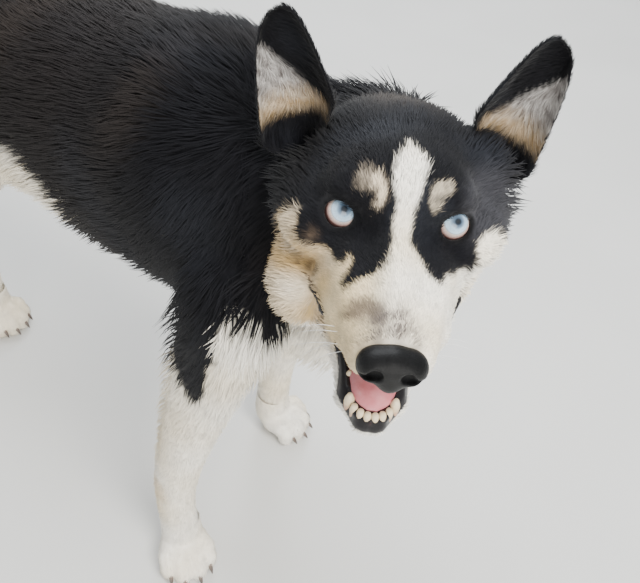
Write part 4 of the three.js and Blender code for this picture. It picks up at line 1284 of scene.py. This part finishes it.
def part_tone(name, points, hollow=0.0, loose=0.0):
    """The colours of one of the skin's parts, or of the hair on it."""
    if name in ("head", "jaw"):
        q = to_head(points)
        by_head = head_tone(q, loose)
        far = neck_share(points) if name == "head" else 0 * q[:, 0]
        return by_head + (body_tone(points) - by_head) * far[:, None]
    if name.startswith("ear"):
        return ear_tone(to_head(points), hollow)
    tone = body_tone(points)
    tail = smooth(2, -8, tail_core(points) - np.minimum(body_form(points) + COAT_DEPTH, 60))[:, None]
    return tone + (tail_tone(points) - tone) * tail


def mouth_wet(q):
    """How wet the skin is: the lips' edges and all in the mouth."""
    jaw = head_to_jaw(q)
    lips = np.minimum(upper_lip(q) - 1, lower_lip(jaw) - lower_band(jaw) + 1)
    return smooth(1.5, 0, np.minimum(lips, np.minimum(palate(q), trough(jaw))))


def ear_hollow(count):
    """Which of an ear's points are in its cup, by their order in the rings."""
    half = EAR_STEPS + 1
    return (np.arange(count) % (2 * half) < half).astype(float)


tones = []
wetness = []
for name, (points, faces) in skin_parts.items():
    hollow = ear_hollow(len(points)) if name.startswith("ear") else 0.0
    tone = part_tone(name, points, hollow)
    if name in ("head", "jaw"):
        tone = mouth_tone(tone, to_head(points))
    tones.append(tone)
    wetness.append(mouth_wet(to_head(points)) if name in ("head", "jaw") else np.zeros(len(points)))
paint(skin, "Tone", np.vstack(tones))
paint(skin, "Wet", np.concatenate(wetness))


def is_outside(points):
    """Which points of the skin aren't hidden inside its other parts."""
    q = to_head(points)
    whole = np.minimum(trunk_and_limbs(points), head_form(q) + head_depth(q))
    return whole > -3


def bald(points):
    """Where no hair grows: lips, mouth, lids and under the nose."""
    q = to_head(points)
    jaw = head_to_jaw(q)
    away, slit = eye_field(folded(q))
    lids = (away < EYE_RADIUS + 4) & (slit < 2)
    lips = (upper_lip(q) < 0.2) | (lower_lip(jaw) < lower_band(jaw) - 0.8)
    mouth = (inside_lip(jaw) < 1) | (palate(q) < 1.2) | (trough(jaw) < 1.2)
    fold = (crease(face_place(q)) < 0.35) & (q[:, 1] < 12)
    return lids | lips | mouth | fold | (nose_form(q) < 1)


# The coat

rng = np.random.default_rng(5)
THIN = 1.0
MOST_TRIANGLES = 196000


def grown(name, part, choose, lie_of, cover, rings, unwrap, seed):
    """Grows the coat on the chosen faces of one part of the skin, covering it so many times over."""
    points, faces = skin_parts[part]
    middle = points[faces].mean(1)
    normals, areas = vertex_normals(points, faces)
    facing = normals[faces].mean(1)
    keep = choose(middle)
    if part in ("body", "head"):
        keep &= is_outside(middle)
    if part in ("head", "jaw"):
        keep &= ~bald(middle)
    lie = lie_of(middle, facing)
    wanted = np.where(keep, THIN * cover / (lie[1] * lie[3]), 0)
    expected = (wanted * areas).sum() * len(one_tuft(rings)[0])
    wanted = wanted * min(1, MOST_TRIANGLES / expected)
    roots, facing = spread_over((points, faces), wanted, rng)
    loose = rng.normal(0, 1.0, len(roots))
    cupped = float(name.startswith("ear_cup"))
    lie = lie_of(roots, facing)
    seen = roots + (np.interp(lie[1], [5, 28], [0.6, 0.0]) * lie[1])[:, None] * normed(lie[0])
    tones = part_tone(part, seen, hollow=cupped, loose=loose)
    return new_coat(name, roots, facing, lie, tones, unwrap(roots), rings, seed)


def head_lie(points, facing):
    comb, length, rise, width = lie_at(to_head(points), HEAD_LIE)
    head = comb @ HEAD_TURNED.T, length, rise, width
    return between(head, body_lie(points, facing), neck_share(points))


def by_tail(points):
    return (tail_core(points) < 4) & (points[:, 1] > 520)


def on_leg(points):
    return (limbs(points) < body_form(points) + COAT_DEPTH - 2) & (points[:, 2] < 400) & ~by_tail(points)


def before_shoulders(points):
    return (points[:, 1] < NECK_END) & ~on_leg(points)


def on_flank(side):
    return lambda p: ((p[:, 1] >= NECK_END) & ~on_leg(p) & ~by_tail(p)
                      & ((p[:, 0] - middle_of(p[:, 1])) * side >= 0))


def on_face(points):
    return to_head(points)[:, 1] < 10


def round_head(points):
    return wound(1, (0, -20))(to_head(points))


NECK_END, CHEST_TOP = 10, 440
grown("neck_coat", "body", lambda p: before_shoulders(p) & (p[:, 2] > CHEST_TOP), body_lie, 8, 2,
      wound(1, (0, 470)), 31)
grown("chest_coat", "body", lambda p: before_shoulders(p) & (p[:, 2] <= CHEST_TOP), body_lie, 9, 2,
      wound(1, (0, 420)), 32)
for name, side in SIDES:
    grown("flank_coat_" + name, "body", on_flank(side), body_lie, 8, 2, wound(1, (-40, 460)), 33 + side)
grown("leg_coat_fore", "body", lambda p: on_leg(p) & (p[:, 1] < 200), body_lie, 1.8, 2,
      wound(2, (0, 20)), 36)
grown("leg_coat_hind", "body", lambda p: on_leg(p) & (p[:, 1] >= 200), body_lie, 2.2, 2,
      wound(2, (-60, 450)), 37)
grown("tail_coat", "body", by_tail, tail_lie, 9, 3, wound(2, (-75, 590)), 38)
grown("head_coat", "head", lambda p: ~on_face(p), head_lie, 5.5, 2, round_head, 41)
grown("face_coat", "head", on_face, head_lie, 3, 2, round_head, 42)
grown("head_coat_jaw", "jaw", lambda p: np.ones(len(p), bool), head_lie, 3, 2, round_head, 43)


def ear_lie(side, cup):
    """Hair up the back of an ear, and longer pale hair from both edges over its hollow."""
    inner, outer, tip = ear_places(side)
    foot = (inner + outer) / 2
    rise, out = unit(tip - foot), unit(outer - inner)
    lengths = ([0, 0.3, 0.9], [15, 13, 6]) if cup else ([0, 0.3, 1], [9, 6, 4.5])
    turned_in, leave, width = (0.75, 20, 0.9) if cup else (0.1, 12, 0.8)

    def lie(points, facing):
        q = to_head(points)
        across = (q - foot) @ out / np.linalg.norm(outer - inner) * 2
        up = np.clip((q - foot) @ rise / EAR_RISE, 0, 1)
        inward = np.clip(-across, -1, 1) * turned_in
        comb = (rise + inward[:, None] * out) @ HEAD_TURNED.T
        return comb, np.interp(up, *lengths), 0 * up + leave, 0 * up + width

    return lie


def in_cup(name, wanted):
    """Chooses the hollow of an ear, or else its back."""

    def choose(middle):
        points, faces = skin_parts["ear_" + name]
        cup = ear_hollow(len(points))[faces].mean(1) > 0.9
        return (cup == wanted) & is_outside(middle)

    return choose


def paw_lie(name):
    """Hair forward over the toes and down the wrist."""
    ahead = np.array((0, -0.9, -0.5)) @ rotation("Z", PAWS[name]["turn"]).T

    def lie(points, facing):
        one = np.ones(len(points))
        comb = ahead + np.array((0, 0, -1)) * smooth(34, 60, points[:, 2])[:, None]
        return comb, 5.5 * one, 13 * one, 0.9 * one

    return lie


for name, side in SIDES:
    grown("ear_back_coat_" + name, "ear_" + name, in_cup(name, False), ear_lie(side, False), 2.8, 2,
          round_head, 51 + side)
    grown("ear_cup_coat_" + name, "ear_" + name, in_cup(name, True), ear_lie(side, True), 2.4, 2,
          round_head, 54 + side)
for number, name in enumerate(PAWS):
    grown("paw_coat_" + name, "paw_" + name, lambda p: (p[:, 2] > 3) & ((p[:, 2] < 50) | is_outside(p)),
          paw_lie(name), 1.3, 2, wound(2, PAWS[name]["at"]), 61 + number)


# Whiskers, in the head's own frame

whiskers = []
for row in range(5):
    for side in (1, -1):
        y, z = -58 - 4 * (row % 4), -36 - 5 * (row // 2)
        start = np.array((side * (25 - 0.3 * abs(y + 58)), y, z))
        way = np.array((side * (0.95 - 0.05 * row), 0.1 + 0.1 * (row % 3), 0.02 - 0.13 * row))
        reach = way * (26 + 4 * (row % 3))
        drop = np.array((0, 4, -9))
        whiskers.append(tube([
            (*(start - reach * 0.06), 0.14), (*(start + reach * 0.4), 0.12),
            (*(start + reach * 0.75 + drop * 0.4), 0.09), (*(start + reach + drop), 0.05),
        ], 5, 5))
whisker_points, whisker_faces = joined(whiskers)
whisker_piece = new_piece("whiskers", (from_head(whisker_points), whisker_faces), FUR)
paint(whisker_piece, "Tone", np.full((len(whisker_points), 3), 0.75))


# Camera, lights and floor

camera = bpy.data.objects.new("camera", bpy.data.cameras.new("camera"))
bpy.context.scene.collection.objects.link(camera)
axes = Matrix((camera_right, camera_up, camera_back)).transposed().to_4x4()
camera.matrix_world = Matrix.Translation(Vector((-0.382, -0.258, 0.816)) + Vector(SHIFT)) @ axes
camera.data.lens = 41.625
camera.data.sensor_width = 36
camera.data.sensor_fit = "HORIZONTAL"
camera.data.clip_start = 0.02
bpy.context.scene.camera = camera

floor_mesh = bpy.data.meshes.new("floor")
floor_mesh.from_pydata([(-30, -30, 0), (30, -30, 0), (30, 30, 0), (-30, 30, 0)], [], [(0, 1, 2, 3)])
floor = bpy.data.objects.new("floor", floor_mesh)
bpy.context.scene.collection.objects.link(floor)
floor_paint, tree, principled = material("floor")
tree.links.new(
    ramp(tree, noise(tree, 3, 2), [(0.3, (0.60, 0.60, 0.585)), (0.7, (0.64, 0.64, 0.625))]),
    principled.inputs["Base Color"])
set_up(principled, Roughness=0.9)
floor_mesh.materials.append(floor_paint)


def area_light(name, place, aim, size, power, colour=(1, 1, 1)):
    lamp = bpy.data.lights.new(name, "AREA")
    lamp.shape = "DISK"
    lamp.size = size
    lamp.energy = power
    lamp.color = colour
    light = bpy.data.objects.new(name, lamp)
    bpy.context.scene.collection.objects.link(light)
    light.location = place
    light.rotation_euler = (Vector(aim) - Vector(place)).to_track_quat("-Z", "Y").to_euler()
    return light


key = area_light("key", (-0.6, -1.9, 2.6), (0, -0.1, 0.45), 1.3, 135, (1, 0.98, 0.93))
key.visible_glossy = False
area_light("glint", (-0.75, -0.75, 0.98), (0, -0.3, 0.6), 0.1, 0.25)
area_light("sky", (0.4, 0.6, 3.2), (0, 0, 0.3), 2.6, 110, (0.94, 0.97, 1))
area_light("fill", (-1.9, -1.8, 0.8), (0, 0, 0.35), 1.8, 40, (1, 0.98, 0.94))
area_light("rim", (2.2, 1.2, 1.8), (0, 0, 0.5), 1.2, 40, (0.92, 0.96, 1))
world = bpy.data.worlds.new("studio")
bpy.context.scene.world = world
world.use_nodes = True
set_up(world.node_tree.nodes["Background"], Color=(0.86, 0.88, 0.9, 1), Strength=0.7)
